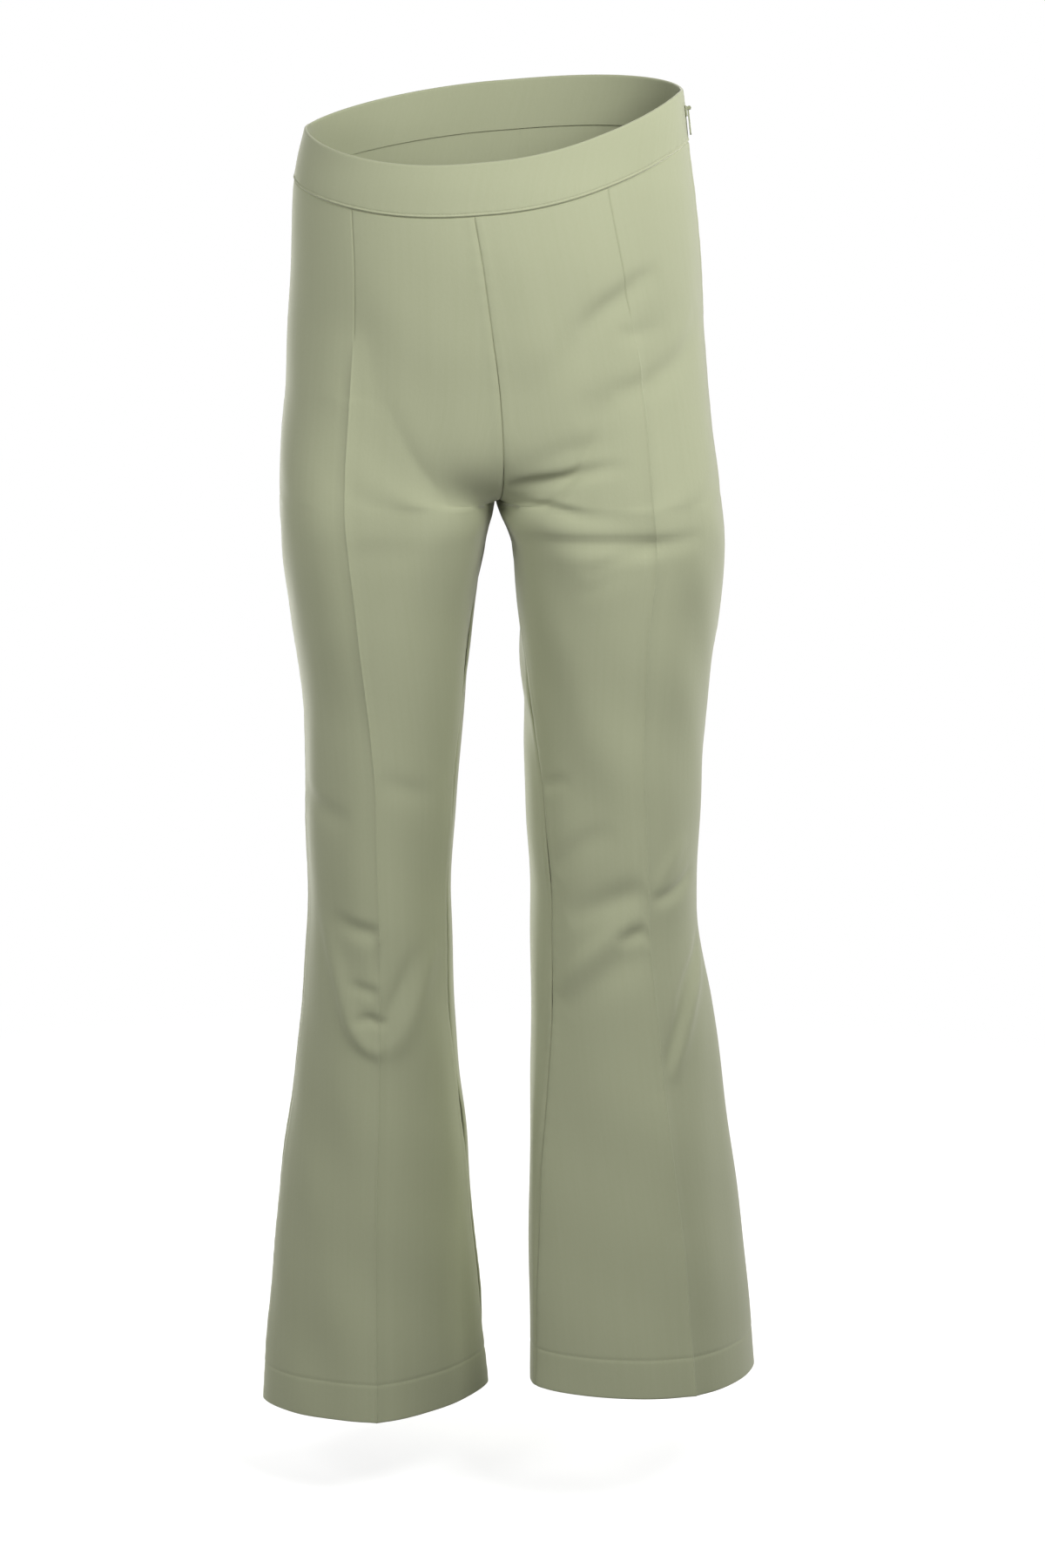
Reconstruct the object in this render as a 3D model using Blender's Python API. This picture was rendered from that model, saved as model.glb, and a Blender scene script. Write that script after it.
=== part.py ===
"""High-rise flared trousers, worn shape, hollow.

Metres, +Z up.  The front faces -Y and the wearer's left is +X.  The origin is the middle
of the waistband, at mid height of its sides, where the wearer's waist holds the garment.

Every panel is a thin wall over one surface.  A place on that surface is given by the side
of the wearer (+1 left, -1 right), a line number and a height.  Line 0 is the centre front
seam and, under the crotch, the inseam; line 1 is the dart and the pressed front crease;
line 2 is the side seam; line 3 is the back crease; line 4 is the centre back seam and the
inseam again.
"""
import math
from collections import namedtuple

import bmesh
import bpy
import numpy as np
from mathutils import Matrix, Vector

# ---------------------------------------------------------------- driving dimensions
CLOTH = 0.0016              # wall of the leg panels
HEM_CLOTH = 0.0024          # wall where the hem is turned up
BAND_CLOTH = 0.0030         # doubled and interfaced waistband
SEAM_GAP = 0.0003           # between neighbouring pieces
BAND_HEIGHT = 0.040
BAND_PROUD = 0.0006         # the band stands this far out from the panels
HEM_HEIGHT = 0.032
HEM_STEP = 0.006            # over the hem its wall thins to the leg's over this height
HEM_LEVEL = -1.050          # the rows of the leg are laid out for a hem at this height

WAIST_SIDE_TOP = 0.020      # top edge at the side seams, mean of both sides
WAIST_ROLL = math.radians(5.0)   # the wearer's left hip is higher
FRONT_DIP = 0.041           # the centre front lies this far under the sides
FRONT_DIP_POWER = 1.6
BACK_RISE = 0.022           # the centre back lies this far over the sides
BACK_RISE_POWER = 1.2
WAIST_ANGLES = (0.0, 38.0, 90.0, 142.0, 180.0)   # of the five lines, round the waist
WAIST_HALF_BREADTH = 0.149

THIGH_TOP = -0.130          # under here the hips part into two thighs, away from the seams
FORK_TOP = -0.200           # the centre seams start to curve under here
CROTCH = -0.287
FORK_WEB = 0.030            # beside them it runs this far under the crotch
FORK_WEB_REACH = 0.5        # and gets there this far from them, in line numbers
FORK_REACH = 1.0            # the centre seams shape the cloth this far, in line numbers
FORK_CORNER = 0.35          # they turn sharply under the crotch up to here
FORK_POWERS = (3.0, 2.5)    # roundness of that turn at the front and the back
THIGH_POWER = 3.2           # beside it, over 1 the cloth stays flat until further down
FORK_NORMAL = (-0.6, 0.0, -0.8)   # outward direction where four panels meet, wearer's left
HIP_POWER = 2.2             # roundness of the hip sections, 2 is an ellipse

DART_LENGTH = 0.105
DART_DEPTH = 0.0007
DART_WIDTH = 0.004          # half of its valley
DART_FADE = 0.030           # it runs out over this length
CREASE_HEIGHT = 0.0022
CREASE_WIDTH = 0.011        # half of its ridge
CREASE_POWER = 1.5          # over 1 its sides are hollow
CREASE_FADE = 0.090         # the crease rises over this length under the dart
LINE_PITCH = 1.4            # from line to line along the cloth, over the leg's half depth

ZIP_LENGTH = 0.180
ZIP_TAPE_WALL = 0.0010
ZIP_TAPE_TOP = 0.006        # under the top edge
ZIP_TAPE_REACH = 0.17       # each side of the seam, in line numbers: about 11 mm
ZIP_TAPE_GAP = 0.0006
ZIP_TAPE_COLUMNS = 4
ZIP_TAPE_STEPS = 12

SLIDER_WIDTH = 0.0060
SLIDER_LENGTH = 0.0085
SLIDER_WALL = 0.0012
SLIDER_BEVEL = 0.0003
SLIDER_DROP = 0.0160        # middle of the slider under the top edge
PIN_RADIUS = 0.00055
PIN_RISE = 0.0031           # the pin's axis over the slider's foot
PIN_ALONG = 0.0022          # and above its middle
EYE_BORE = 0.0009
EYE_RADIUS = 0.0016
EYE_WIDTH = 0.0024
EAR_WALL = 0.0009
EAR_LENGTH = 0.0024
EAR_GAP = 0.0003
EAR_RIM = 0.0006            # of the ear over the pin
TAB_LENGTH = 0.021
TAB_WIDTH = 0.0056
TAB_WALL = 0.0011
TAB_NECK = 0.0022
TAB_LEVEL = -0.0009         # middle of the tab's wall, from the pin's axis
ROD_SIDES = 20

# Heights are in the first column; the rows go from the waist down.
HipRow = namedtuple("HipRow", "height right left front back turn")
HIPS = (
    HipRow(0.045, 0.1440, 0.1465, 0.104, 0.096, 6.0),
    HipRow(0.010, 0.1480, 0.1505, 0.109, 0.098, 6.0),
    HipRow(-0.020, 0.1550, 0.1540, 0.112, 0.101, 5.4),
    HipRow(-0.045, 0.1595, 0.1575, 0.115, 0.105, 4.6),
    HipRow(-0.101, 0.1620, 0.1630, 0.118, 0.117, 2.2),
    HipRow(-0.156, 0.1660, 0.1670, 0.116, 0.128, 0.2),
    HipRow(-0.211, 0.1690, 0.1720, 0.112, 0.131, -1.0),
    HipRow(-0.267, 0.1730, 0.1780, 0.109, 0.121, -1.5),
    HipRow(-0.310, 0.1730, 0.1840, 0.106, 0.110, -1.5),
)

# inner and outer are the edges seen from the front, measured from the middle plane.
LegRow = namedtuple("LegRow", "height inner outer middle depth turn power")
RIGHT_LEG = (
    LegRow(-0.100, 0.0002, 0.1620, 0.000, 0.116, 0.0, 3.0),
    LegRow(-0.200, 0.0002, 0.1685, 0.008, 0.120, 0.0, 3.1),
    LegRow(-0.287, 0.0002, 0.1725, 0.003, 0.111, 0.0, 3.1),
    LegRow(-0.324, 0.0080, 0.1715, 0.000, 0.106, 0.0, 2.75),
    LegRow(-0.380, 0.0180, 0.1660, -0.002, 0.098, 0.0, 2.3),
    LegRow(-0.467, 0.0260, 0.1560, -0.005, 0.085, 0.0, 2.0),
    LegRow(-0.540, 0.0320, 0.1560, -0.007, 0.077, 0.0, 1.95),
    LegRow(-0.620, 0.0365, 0.1545, -0.006, 0.0735, -1.0, 1.85),
    LegRow(-0.702, 0.0350, 0.1600, -0.002, 0.074, -2.0, 1.75),
    LegRow(-0.800, 0.0270, 0.1725, 0.003, 0.077, -3.0, 1.65),
    LegRow(-0.900, 0.0190, 0.1850, 0.004, 0.081, -3.0, 1.58),
    LegRow(-1.055, 0.0070, 0.1985, 0.000, 0.087, -3.0, 1.52),
)
LEFT_LEG = (
    LegRow(-0.100, 0.0002, 0.1630, 0.000, 0.116, 0.0, 3.0),
    LegRow(-0.200, 0.0002, 0.1715, 0.008, 0.120, 0.0, 3.1),
    LegRow(-0.287, 0.0002, 0.1810, 0.001, 0.111, 1.0, 3.1),
    LegRow(-0.324, 0.0130, 0.1845, -0.003, 0.106, 2.0, 2.75),
    LegRow(-0.380, 0.0180, 0.1800, -0.007, 0.098, 3.0, 2.3),
    LegRow(-0.467, 0.0230, 0.1700, -0.014, 0.085, 9.0, 2.0),
    LegRow(-0.540, 0.0245, 0.1665, -0.020, 0.077, 18.0, 1.95),
    LegRow(-0.620, 0.0285, 0.1640, -0.024, 0.0735, 22.0, 1.85),
    LegRow(-0.702, 0.0290, 0.1775, -0.026, 0.074, 23.0, 1.75),
    LegRow(-0.800, 0.0280, 0.1912, -0.030, 0.077, 24.0, 1.65),
    LegRow(-0.900, 0.0275, 0.2055, -0.035, 0.081, 27.0, 1.58),
    LegRow(-1.035, 0.0290, 0.2195, -0.044, 0.087, 28.0, 1.52),
)

# Angles round the section of the five lines.  Hip: from the centre front.
# Leg: from its innermost point, forwards.
HipLine = namedtuple("HipLine", "height dart side back_dart")
HIP_LINES = (
    HipLine(0.045, 35.5, 90.0, 142.0),
    HipLine(-0.100, 37.5, 90.0, 141.0),
    HipLine(-0.200, 40.0, 90.0, 138.0),
    HipLine(-0.310, 43.0, 90.0, 134.0),
)
LegLine = namedtuple("LegLine", "height inseam crease side back_crease")
LEG_LINES = (
    LegLine(-0.100, 0.0, 99.0, 180.0, 258.0),
    LegLine(-0.287, 0.0, 101.0, 180.0, 265.0),
    LegLine(-0.350, 5.0, 100.0, 179.0, 268.0),
    LegLine(-0.430, 13.0, 99.0, 177.0, 270.0),
    LegLine(-0.530, 20.0, 91.0, 172.0, 270.0),
    LegLine(-0.700, 19.0, 88.0, 172.0, 270.0),
    LegLine(-0.850, 11.0, 90.0, 176.0, 270.0),
    LegLine(-1.050, 0.0, 90.0, 180.0, 270.0),
)

# Height of the hem edge at the five lines.
HEM_LINES = {
    -1: (-1.0425, -1.0445, -1.0530, -1.0540, -1.0425),
    1: (-1.0100, -1.0090, -1.0190, -1.0200, -1.0100),
}

# The largest folds: from (line, height) to (line, height), bowed upwards in the middle.
# A negative depth is a trough, a positive one a ridge.
FOLD_STEPS = 12             # pieces of a fold's middle line
FOLD_TAPER = 0.6            # under 1 a fold keeps its depth until near its ends
Fold = namedtuple("Fold", "side line height to_line to_height bow width depth")
FOLDS = (
    # left hip and crotch
    Fold(1, 1.25, -0.104, 0.42, -0.180, 0.009, 0.015, -0.0030),
    Fold(1, 1.65, -0.148, 0.80, -0.214, 0.000, 0.018, -0.0030),
    Fold(1, 0.10, -0.277, 0.85, -0.256, -0.004, 0.011, -0.0035),
    Fold(1, 0.25, -0.313, 1.32, -0.310, -0.003, 0.010, -0.0035),
    # left knee and calf
    Fold(1, 0.10, -0.678, 0.85, -0.642, 0.000, 0.014, 0.0030),
    Fold(1, 0.60, -0.617, 1.05, -0.637, 0.000, 0.014, -0.0035),
    Fold(1, 1.60, -0.656, 1.15, -0.736, 0.000, 0.014, 0.0035),
    # right knee and calf
    Fold(-1, 1.78, -0.505, 0.74, -0.523, 0.006, 0.014, -0.0025),
    Fold(-1, 1.60, -0.641, 1.03, -0.734, -0.004, 0.013, 0.0040),
    Fold(-1, 1.03, -0.734, 0.38, -0.684, -0.004, 0.014, 0.0035),
    Fold(-1, 1.25, -0.638, 0.85, -0.706, 0.000, 0.016, -0.0035),
    # under the seat
    Fold(1, 3.75, -0.305, 2.75, -0.316, -0.006, 0.014, -0.0040),
    Fold(-1, 3.72, -0.309, 2.80, -0.312, -0.008, 0.014, -0.0040),
    Fold(-1, 3.50, -0.352, 2.70, -0.344, -0.004, 0.013, -0.0025),
    # behind the knees
    Fold(1, 3.60, -0.508, 2.55, -0.530, 0.006, 0.014, -0.0035),
    Fold(1, 3.35, -0.560, 2.60, -0.546, 0.000, 0.013, -0.0030),
    Fold(-1, 3.50, -0.530, 2.45, -0.512, 0.005, 0.014, -0.0035),
    Fold(-1, 3.65, -0.556, 2.90, -0.572, 0.000, 0.013, -0.0028),
    # calves, behind
    Fold(1, 2.40, -0.655, 2.95, -0.722, 0.000, 0.014, 0.0032),
    Fold(-1, 3.55, -0.662, 3.05, -0.735, 0.000, 0.014, 0.0032),
)

FRONT_COLUMNS = 12
BACK_COLUMNS = 12
HIP_STEPS = 10
FORK_STEPS = 6
# Rows of the leg, closer together where the cloth folds.
RowBand = namedtuple("RowBand", "down_to steps")
LEG_BANDS = (
    RowBand(-0.360, 7),
    RowBand(-0.480, 5),
    RowBand(-0.600, 10),
    RowBand(-0.760, 12),
    RowBand(HEM_LEVEL + HEM_HEIGHT + HEM_STEP, 8),
    RowBand(HEM_LEVEL + HEM_HEIGHT, 1),
    RowBand(HEM_LEVEL, 1),
)
BAND_COLUMNS = 26
BAND_STEPS = 4

MATERIALS = {
    # name: (base colour, roughness, metallic)
    "sage_crepe": ((0.42, 0.44, 0.30), 0.85, 0.0),
    "zip_tape": ((0.40, 0.42, 0.29), 0.8, 0.0),
    "zip_enamel": ((0.40, 0.42, 0.30), 0.35, 0.0),
}


# ---------------------------------------------------------------- table and shape helpers
def table_value(rows, column, height):
    """Curve through one column of a table that never overshoots, read at any heights."""
    knots = np.array([row.height for row in rows])[::-1]
    values = np.array([getattr(row, column) for row in rows])[::-1]
    steps = np.diff(values) / np.diff(knots)
    before, after = steps[:-1], steps[1:]
    same_way = before * after > 0.0
    mean = 2.0 * before * after / np.where(same_way, before + after, 1.0)
    slopes = np.concatenate([steps[:1], np.where(same_way, mean, 0.0), steps[-1:]])
    at = np.clip(np.asarray(height, dtype=float), knots[0], knots[-1])
    low = np.clip(np.searchsorted(knots, at) - 1, 0, len(knots) - 2)
    span = knots[low + 1] - knots[low]
    s = (at - knots[low]) / span
    rise = s * s * (3.0 - 2.0 * s)
    return (
        values[low] * (1.0 - rise)
        + values[low + 1] * rise
        + span * slopes[low] * s * (1.0 - s) ** 2
        - span * slopes[low + 1] * s * s * (1.0 - s)
    )


def smooth_step(value):
    value = np.clip(value, 0.0, 1.0)
    return value * value * (3.0 - 2.0 * value)


def signed_power(value, power):
    return np.sign(value) * np.abs(value) ** power


def between_lines(angles, line):
    """Angle at a fractional line number, from the angles of the five lines."""
    line = np.clip(line, 0.0, 4.0)
    total = np.asarray(angles[0], float)
    for number in range(4):
        step = np.asarray(angles[number + 1]) - np.asarray(angles[number])
        total = total + step * np.clip(line - number, 0.0, 1.0)
    return total


# ---------------------------------------------------------------- the worn surface
def hip_section(side, line, height):
    lines = [
        np.zeros_like(height),
        table_value(HIP_LINES, "dart", height),
        table_value(HIP_LINES, "side", height),
        table_value(HIP_LINES, "back_dart", height),
        np.full_like(height, 180.0),
    ]
    angle = side * between_lines(lines, line) - table_value(HIPS, "turn", height)
    angle = np.radians(angle)
    right = table_value(HIPS, "right", height)
    left = table_value(HIPS, "left", height)
    front = table_value(HIPS, "front", height)
    back = table_value(HIPS, "back", height)
    x = (left - right) / 2 + (left + right) / 2 * signed_power(np.sin(angle), 2 / HIP_POWER)
    y = (back - front) / 2 - (back + front) / 2 * signed_power(np.cos(angle), 2 / HIP_POWER)
    return x, y


def leg_section(side, line, height):
    rows = LEFT_LEG if side > 0 else RIGHT_LEG
    lines = [
        table_value(LEG_LINES, "inseam", height),
        table_value(LEG_LINES, "crease", height),
        table_value(LEG_LINES, "side", height),
        table_value(LEG_LINES, "back_crease", height),
        360.0 + table_value(LEG_LINES, "inseam", height),
    ]
    angle = np.radians(between_lines(lines, line))
    inner = table_value(rows, "inner", height)
    outer = table_value(rows, "outer", height)
    depth = table_value(rows, "depth", height)
    turn = np.radians(table_value(rows, "turn", height))
    power = table_value(rows, "power", height)
    # The half breadth seen from the front belongs to the turned section; its own half
    # width follows from the width that such a rounded section spans when it is turned.
    spread = power / (power - 1.0)
    seen = (outer - inner) / 2
    own = seen ** spread - (depth * np.abs(np.sin(turn))) ** spread
    width = own ** (1.0 / spread) / np.cos(turn)
    across = -width * signed_power(np.cos(angle), 2 / power)
    ahead = depth * signed_power(np.sin(angle), 2 / power)
    x = side * (inner + outer) / 2 + side * (across * np.cos(turn) + ahead * np.sin(turn))
    y = table_value(rows, "middle", height) + across * np.sin(turn) - ahead * np.cos(turn)
    return x, y


def worn_surface(side, line, height):
    """Points of the outer face, before creases and folds."""
    line, height = np.broadcast_arrays(np.asarray(line, float), np.asarray(height, float))
    hip_x, hip_y = hip_section(side, line, height)
    leg_x, leg_y = leg_section(side, line, height)
    beside_seam = np.minimum(line, 4.0 - line)
    reach = smooth_step(beside_seam / FORK_REACH)
    top = FORK_TOP + (THIGH_TOP - FORK_TOP) * reach
    foot = CROTCH - FORK_WEB * smooth_step(beside_seam / FORK_WEB_REACH)
    down = np.clip((top - height) / (top - foot), 0.0, 1.0)
    power = np.where(line < 2.0, *FORK_POWERS)
    turned = 1.0 - (1.0 - down ** power) ** (1.0 / power)
    gentle = smooth_step(down ** (THIGH_POWER + (1.0 - THIGH_POWER) * reach))
    beyond = smooth_step(beside_seam / FORK_CORNER)
    share = turned * (1.0 - beyond) + gentle * beyond
    x = hip_x * (1.0 - share) + leg_x * share
    y = hip_y * (1.0 - share) + leg_y * share
    return np.stack([x, y, height], axis=-1)


def surface_normal(side, line, height):
    """Outward direction of the worn surface."""
    beside, above = 0.02, 0.002
    round_step = (worn_surface(side, np.minimum(line + beside, 4.0), height)
                  - worn_surface(side, np.maximum(line - beside, 0.0), height))
    down_step = (worn_surface(side, line, height - above)
                 - worn_surface(side, line, height + above))
    normal = np.cross(down_step, round_step) * side
    return normal / np.linalg.norm(normal, axis=-1, keepdims=True)


def waist_top(side, line):
    """Height of the waistband's top edge."""
    angle = np.radians(between_lines(WAIST_ANGLES, line))
    dip = FRONT_DIP * np.clip(np.cos(angle), 0, 1) ** FRONT_DIP_POWER
    rise = BACK_RISE * np.clip(-np.cos(angle), 0, 1) ** BACK_RISE_POWER
    across = side * WAIST_HALF_BREADTH * np.sin(angle)
    return WAIST_SIDE_TOP + across * math.tan(WAIST_ROLL) - dip + rise


def hem_height(side, line):
    """Smooth round the leg: the first and last of the five values are the same seam."""
    heights = HEM_LINES[side]
    height = heights[0]
    for number in range(4):
        step = heights[number + 1] - heights[number]
        height = height + step * smooth_step(line - number)
    return height


def leg_parts():
    """How far down the leg each row lies, 0 at the crotch and 1 at the hem."""
    heights = [CROTCH]
    for band in LEG_BANDS:
        top = heights[-1]
        for step in range(1, band.steps + 1):
            heights.append(top + (band.down_to - top) * step / band.steps)
    return (np.array(heights) - CROTCH) / (heights[-1] - CROTCH)


def row_heights(side, line):
    """Heights of the panel rows, from the waistband seam to the hem, at each line."""
    top = waist_top(side, line) - BAND_HEIGHT - SEAM_GAP
    hem = hem_height(side, line)
    rows = []
    for step in range(HIP_STEPS):
        rows.append(top + (FORK_TOP - top) * step / HIP_STEPS)
    for step in range(FORK_STEPS):
        down = math.sqrt(1.0 - (1.0 - step / FORK_STEPS) ** 2)
        rows.append(np.full_like(top, FORK_TOP + (CROTCH - FORK_TOP) * down))
    for part in leg_parts():
        rows.append(CROTCH + (hem - CROTCH) * part)
    return np.array(rows)


def pressed_line(side, line, height):
    """How far the dart and the crease move the surface out, in metres."""
    near = np.minimum(np.abs(line - 1.0), np.abs(line - 3.0))
    across = near * table_value(RIGHT_LEG, "depth", height) * LINE_PITCH
    down = waist_top(side, line) - BAND_HEIGHT - height
    dart = -DART_DEPTH * np.clip(1.0 - across / DART_WIDTH, 0, 1)
    dart = dart * smooth_step((DART_LENGTH - down) / DART_FADE)
    crease = CREASE_HEIGHT * np.clip(1.0 - across / CREASE_WIDTH, 0, 1) ** CREASE_POWER
    crease = crease * smooth_step((down - DART_LENGTH) / CREASE_FADE)
    return dart + crease


def fold_path(fold):
    """Points along a fold's middle line, on the worn surface."""
    along = np.linspace(0.0, 1.0, FOLD_STEPS + 1)
    line = fold.line + (fold.to_line - fold.line) * along
    height = fold.height + (fold.to_height - fold.height) * along
    height = height + 4.0 * fold.bow * along * (1.0 - along)
    return worn_surface(fold.side, line, height)


def fold_relief(side, points):
    """How far the folds move each surface point out, in metres."""
    relief = np.zeros(points.shape[:-1])
    for fold in FOLDS:
        if fold.side != side:
            continue
        path = fold_path(fold)
        starts = path[:-1]
        steps = path[1:] - starts
        offset = points[..., None, :] - starts
        part = np.sum(offset * steps, axis=-1) / np.sum(steps * steps, axis=-1)
        part = np.clip(part, 0.0, 1.0)
        gap = np.linalg.norm(offset - part[..., None] * steps, axis=-1)
        nearest = np.argmin(gap, axis=-1)
        gap = np.take_along_axis(gap, nearest[..., None], axis=-1)[..., 0]
        part = np.take_along_axis(part, nearest[..., None], axis=-1)[..., 0]
        along = np.clip((nearest + part) / FOLD_STEPS, 0.0, 1.0)
        taper = np.sin(np.pi * along) ** FOLD_TAPER
        relief += fold.depth * taper * np.exp(-(gap / fold.width) ** 2)
    return relief


# ---------------------------------------------------------------- grids and normals
def side_grid(side):
    """The whole surface of one side of the wearer: rows from waist to hem."""
    front = 2.0 * np.arange(FRONT_COLUMNS) / FRONT_COLUMNS
    back = 2.0 + 2.0 * np.arange(BACK_COLUMNS + 1) / BACK_COLUMNS
    line = np.concatenate([front, back])
    heights = row_heights(side, line)
    lines = np.broadcast_to(line, heights.shape)
    points = worn_surface(side, lines, heights)
    return lines, heights, points


def grid_normals(side, points, other, crotch_row):
    """Outward normals, the same on both sides of every seam."""
    before = np.empty_like(points)
    after = np.empty_like(points)
    before[:, 1:] = points[:, :-1]
    after[:, :-1] = points[:, 1:]
    before[: crotch_row + 1, 0] = other[: crotch_row + 1, 1]
    after[: crotch_row + 1, -1] = other[: crotch_row + 1, -2]
    before[crotch_row + 1:, 0] = points[crotch_row + 1:, -2]
    after[crotch_row + 1:, -1] = points[crotch_row + 1:, 1]
    round_step = after - before
    down_step = np.gradient(points, axis=0)
    normals = np.cross(down_step, round_step) * side
    normals[: crotch_row, 0, 0] = 0.0
    normals[: crotch_row, -1, 0] = 0.0
    normals /= np.linalg.norm(normals, axis=-1, keepdims=True)
    across, ahead, up = FORK_NORMAL
    normals[crotch_row, 0] = normals[crotch_row, -1] = (side * across, ahead, up)
    return normals


def draw_back_edges(grid):
    """Move the first and last columns away from the seam by half its gap."""
    grid = grid.copy()
    for edge, beside in ((0, 1), (-1, -2)):
        step = grid[:, beside] - grid[:, edge]
        length = np.linalg.norm(step, axis=-1, keepdims=True)
        grid[:, edge] += step / length * SEAM_GAP / 2
    return grid


def panel_grid(side, points):
    """A leg panel's points, clear of its neighbours at every seam."""
    panel = draw_back_edges(points)
    beside_middle = np.abs(panel[..., 0]) < SEAM_GAP / 2
    panel[..., 0] = np.where(beside_middle, side * SEAM_GAP / 2, panel[..., 0])
    return panel


# ---------------------------------------------------------------- meshes
def new_object(name, mesh, material):
    mesh.materials.append(material)
    mesh.validate()
    for face in mesh.polygons:
        face.use_smooth = True
    mesh.set_sharp_from_angle(angle=math.radians(35))
    piece = bpy.data.objects.new(name, mesh)
    bpy.context.collection.objects.link(piece)
    return piece


def wall_mesh(name, outer, inner):
    """Closed wall between two grids of the same size, outer face and inner face."""
    rows, columns = outer.shape[:2]
    corners = np.concatenate([outer.reshape(-1, 3), inner.reshape(-1, 3)])
    inside = rows * columns

    def at(row, column):
        return row * columns + column

    faces = []
    for row in range(rows - 1):
        for column in range(columns - 1):
            a = at(row, column)
            b = at(row, column + 1)
            c = at(row + 1, column + 1)
            d = at(row + 1, column)
            faces.append((a, d, c, b))
            faces.append((a + inside, b + inside, c + inside, d + inside))
    rim = [at(0, c) for c in range(columns - 1)]
    rim += [at(r, columns - 1) for r in range(rows - 1)]
    rim += [at(rows - 1, c) for c in range(columns - 1, 0, -1)]
    rim += [at(r, 0) for r in range(rows - 1, 0, -1)]
    for here, there in zip(rim, rim[1:] + rim[:1]):
        faces.append((here, there, there + inside, here + inside))
    mesh = bpy.data.meshes.new(name)
    mesh.from_pydata([tuple(p) for p in corners], [], faces)
    shape = bmesh.new()
    shape.from_mesh(mesh)
    bmesh.ops.triangulate(shape, faces=shape.faces)
    bmesh.ops.recalc_face_normals(shape, faces=shape.faces)
    shape.to_mesh(mesh)
    shape.free()
    return mesh


# ---------------------------------------------------------------- pieces
def make_leg_panels(material):
    crotch_row = HIP_STEPS + FORK_STEPS
    plain = {side: side_grid(side) for side in (-1, 1)}
    for side, name in ((-1, "right"), (1, "left")):
        lines, heights, points = plain[side]
        normals = grid_normals(side, points, plain[-side][2], crotch_row)
        out = pressed_line(side, lines, heights) + fold_relief(side, points)
        outer = points + normals * out[..., None]
        over_hem = heights - hem_height(side, lines) - HEM_HEIGHT
        wall = HEM_CLOTH + (CLOTH - HEM_CLOTH) * smooth_step(over_hem / HEM_STEP)
        inner = outer - normals * wall[..., None]
        spans = {
            "front": (0, FRONT_COLUMNS),
            "back": (FRONT_COLUMNS, FRONT_COLUMNS + BACK_COLUMNS),
        }
        for half, (first, last) in spans.items():
            faces = [panel_grid(side, grid[:, first:last + 1]) for grid in (outer, inner)]
            mesh = wall_mesh(f"{half}_leg_{name}", *faces)
            new_object(f"{half}_leg_{name}", mesh, material)


def band_faces(half):
    """Outer and inner points of a waistband piece, from side seam to side seam."""
    across = np.linspace(-1.0, 1.0, BAND_COLUMNS + 1)
    side = np.where(across < 0, -1, 1)
    line = 2.0 * np.abs(across) if half == "front" else 4.0 - 2.0 * np.abs(across)
    outer = np.empty((BAND_STEPS + 1, BAND_COLUMNS + 1, 3))
    inner = np.empty_like(outer)
    for step in range(BAND_STEPS + 1):
        for one in (-1, 1):
            chosen = side == one
            height = waist_top(one, line[chosen]) - BAND_HEIGHT * step / BAND_STEPS
            points = worn_surface(one, line[chosen], height)
            normals = surface_normal(one, line[chosen], height)
            outer[step, chosen] = points + normals * BAND_PROUD
            inner[step, chosen] = points - normals * (BAND_CLOTH - BAND_PROUD)
    return draw_back_edges(outer), draw_back_edges(inner)


def make_waistband(material):
    for half in ("front", "back"):
        mesh = wall_mesh(f"waistband_{half}", *band_faces(half))
        new_object(f"waistband_{half}", mesh, material)


def make_zip_tape(material):
    """The tape with its coil, a thin wall inside the left side seam."""
    top = float(waist_top(1, np.float64(2.0))) - ZIP_TAPE_TOP
    line = 2.0 + np.linspace(-1.0, 1.0, ZIP_TAPE_COLUMNS + 1) * ZIP_TAPE_REACH
    height = top - ZIP_LENGTH * np.linspace(0.0, 1.0, ZIP_TAPE_STEPS + 1)
    line, height = np.meshgrid(line, height)
    points = worn_surface(1, line, height)
    normals = surface_normal(1, line, height)
    depth = BAND_CLOTH - BAND_PROUD + ZIP_TAPE_GAP
    outer = points - normals * depth
    inner = outer - normals * ZIP_TAPE_WALL
    new_object("zip_tape", wall_mesh("zip_tape", outer, inner), material)


def slider_frame():
    """Matrix of the slider: local X backward, Y up the seam, Z out of the cloth."""
    top = float(waist_top(1, np.float64(2.0)))
    height = top - SLIDER_DROP
    reach = 0.004
    here = Vector(worn_surface(1, 2.0, height))
    above = Vector(worn_surface(1, 2.0, height + reach))
    below = Vector(worn_surface(1, 2.0, height - reach))
    outward = Vector(surface_normal(1, np.float64(2.0), np.float64(height)))
    up = (above - below).normalized()
    backward = up.cross(outward).normalized()
    up = outward.cross(backward).normalized()
    matrix = Matrix((backward, up, outward)).transposed().to_4x4()
    matrix.translation = here + outward * (BAND_PROUD + SEAM_GAP)
    return matrix


def box_mesh(name, size, place, bevel=0.0):
    shape = bmesh.new()
    matrix = Matrix.Translation(place) @ Matrix.Diagonal((*size, 1.0))
    bmesh.ops.create_cube(shape, size=1.0, matrix=matrix)
    if bevel > 0.0:
        bmesh.ops.bevel(shape, geom=shape.edges[:], offset=bevel, segments=2,
                        profile=0.5, affect="EDGES")
    return mesh_of(shape, name)


def rod_mesh(name, radius, length, place):
    """A round rod along local X."""
    shape = bmesh.new()
    turned = Matrix.Rotation(math.pi / 2, 4, "Y")
    bmesh.ops.create_cone(shape, cap_ends=True, segments=ROD_SIDES, radius1=radius,
                          radius2=radius, depth=length,
                          matrix=Matrix.Translation(place) @ turned)
    return mesh_of(shape, name)


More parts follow.
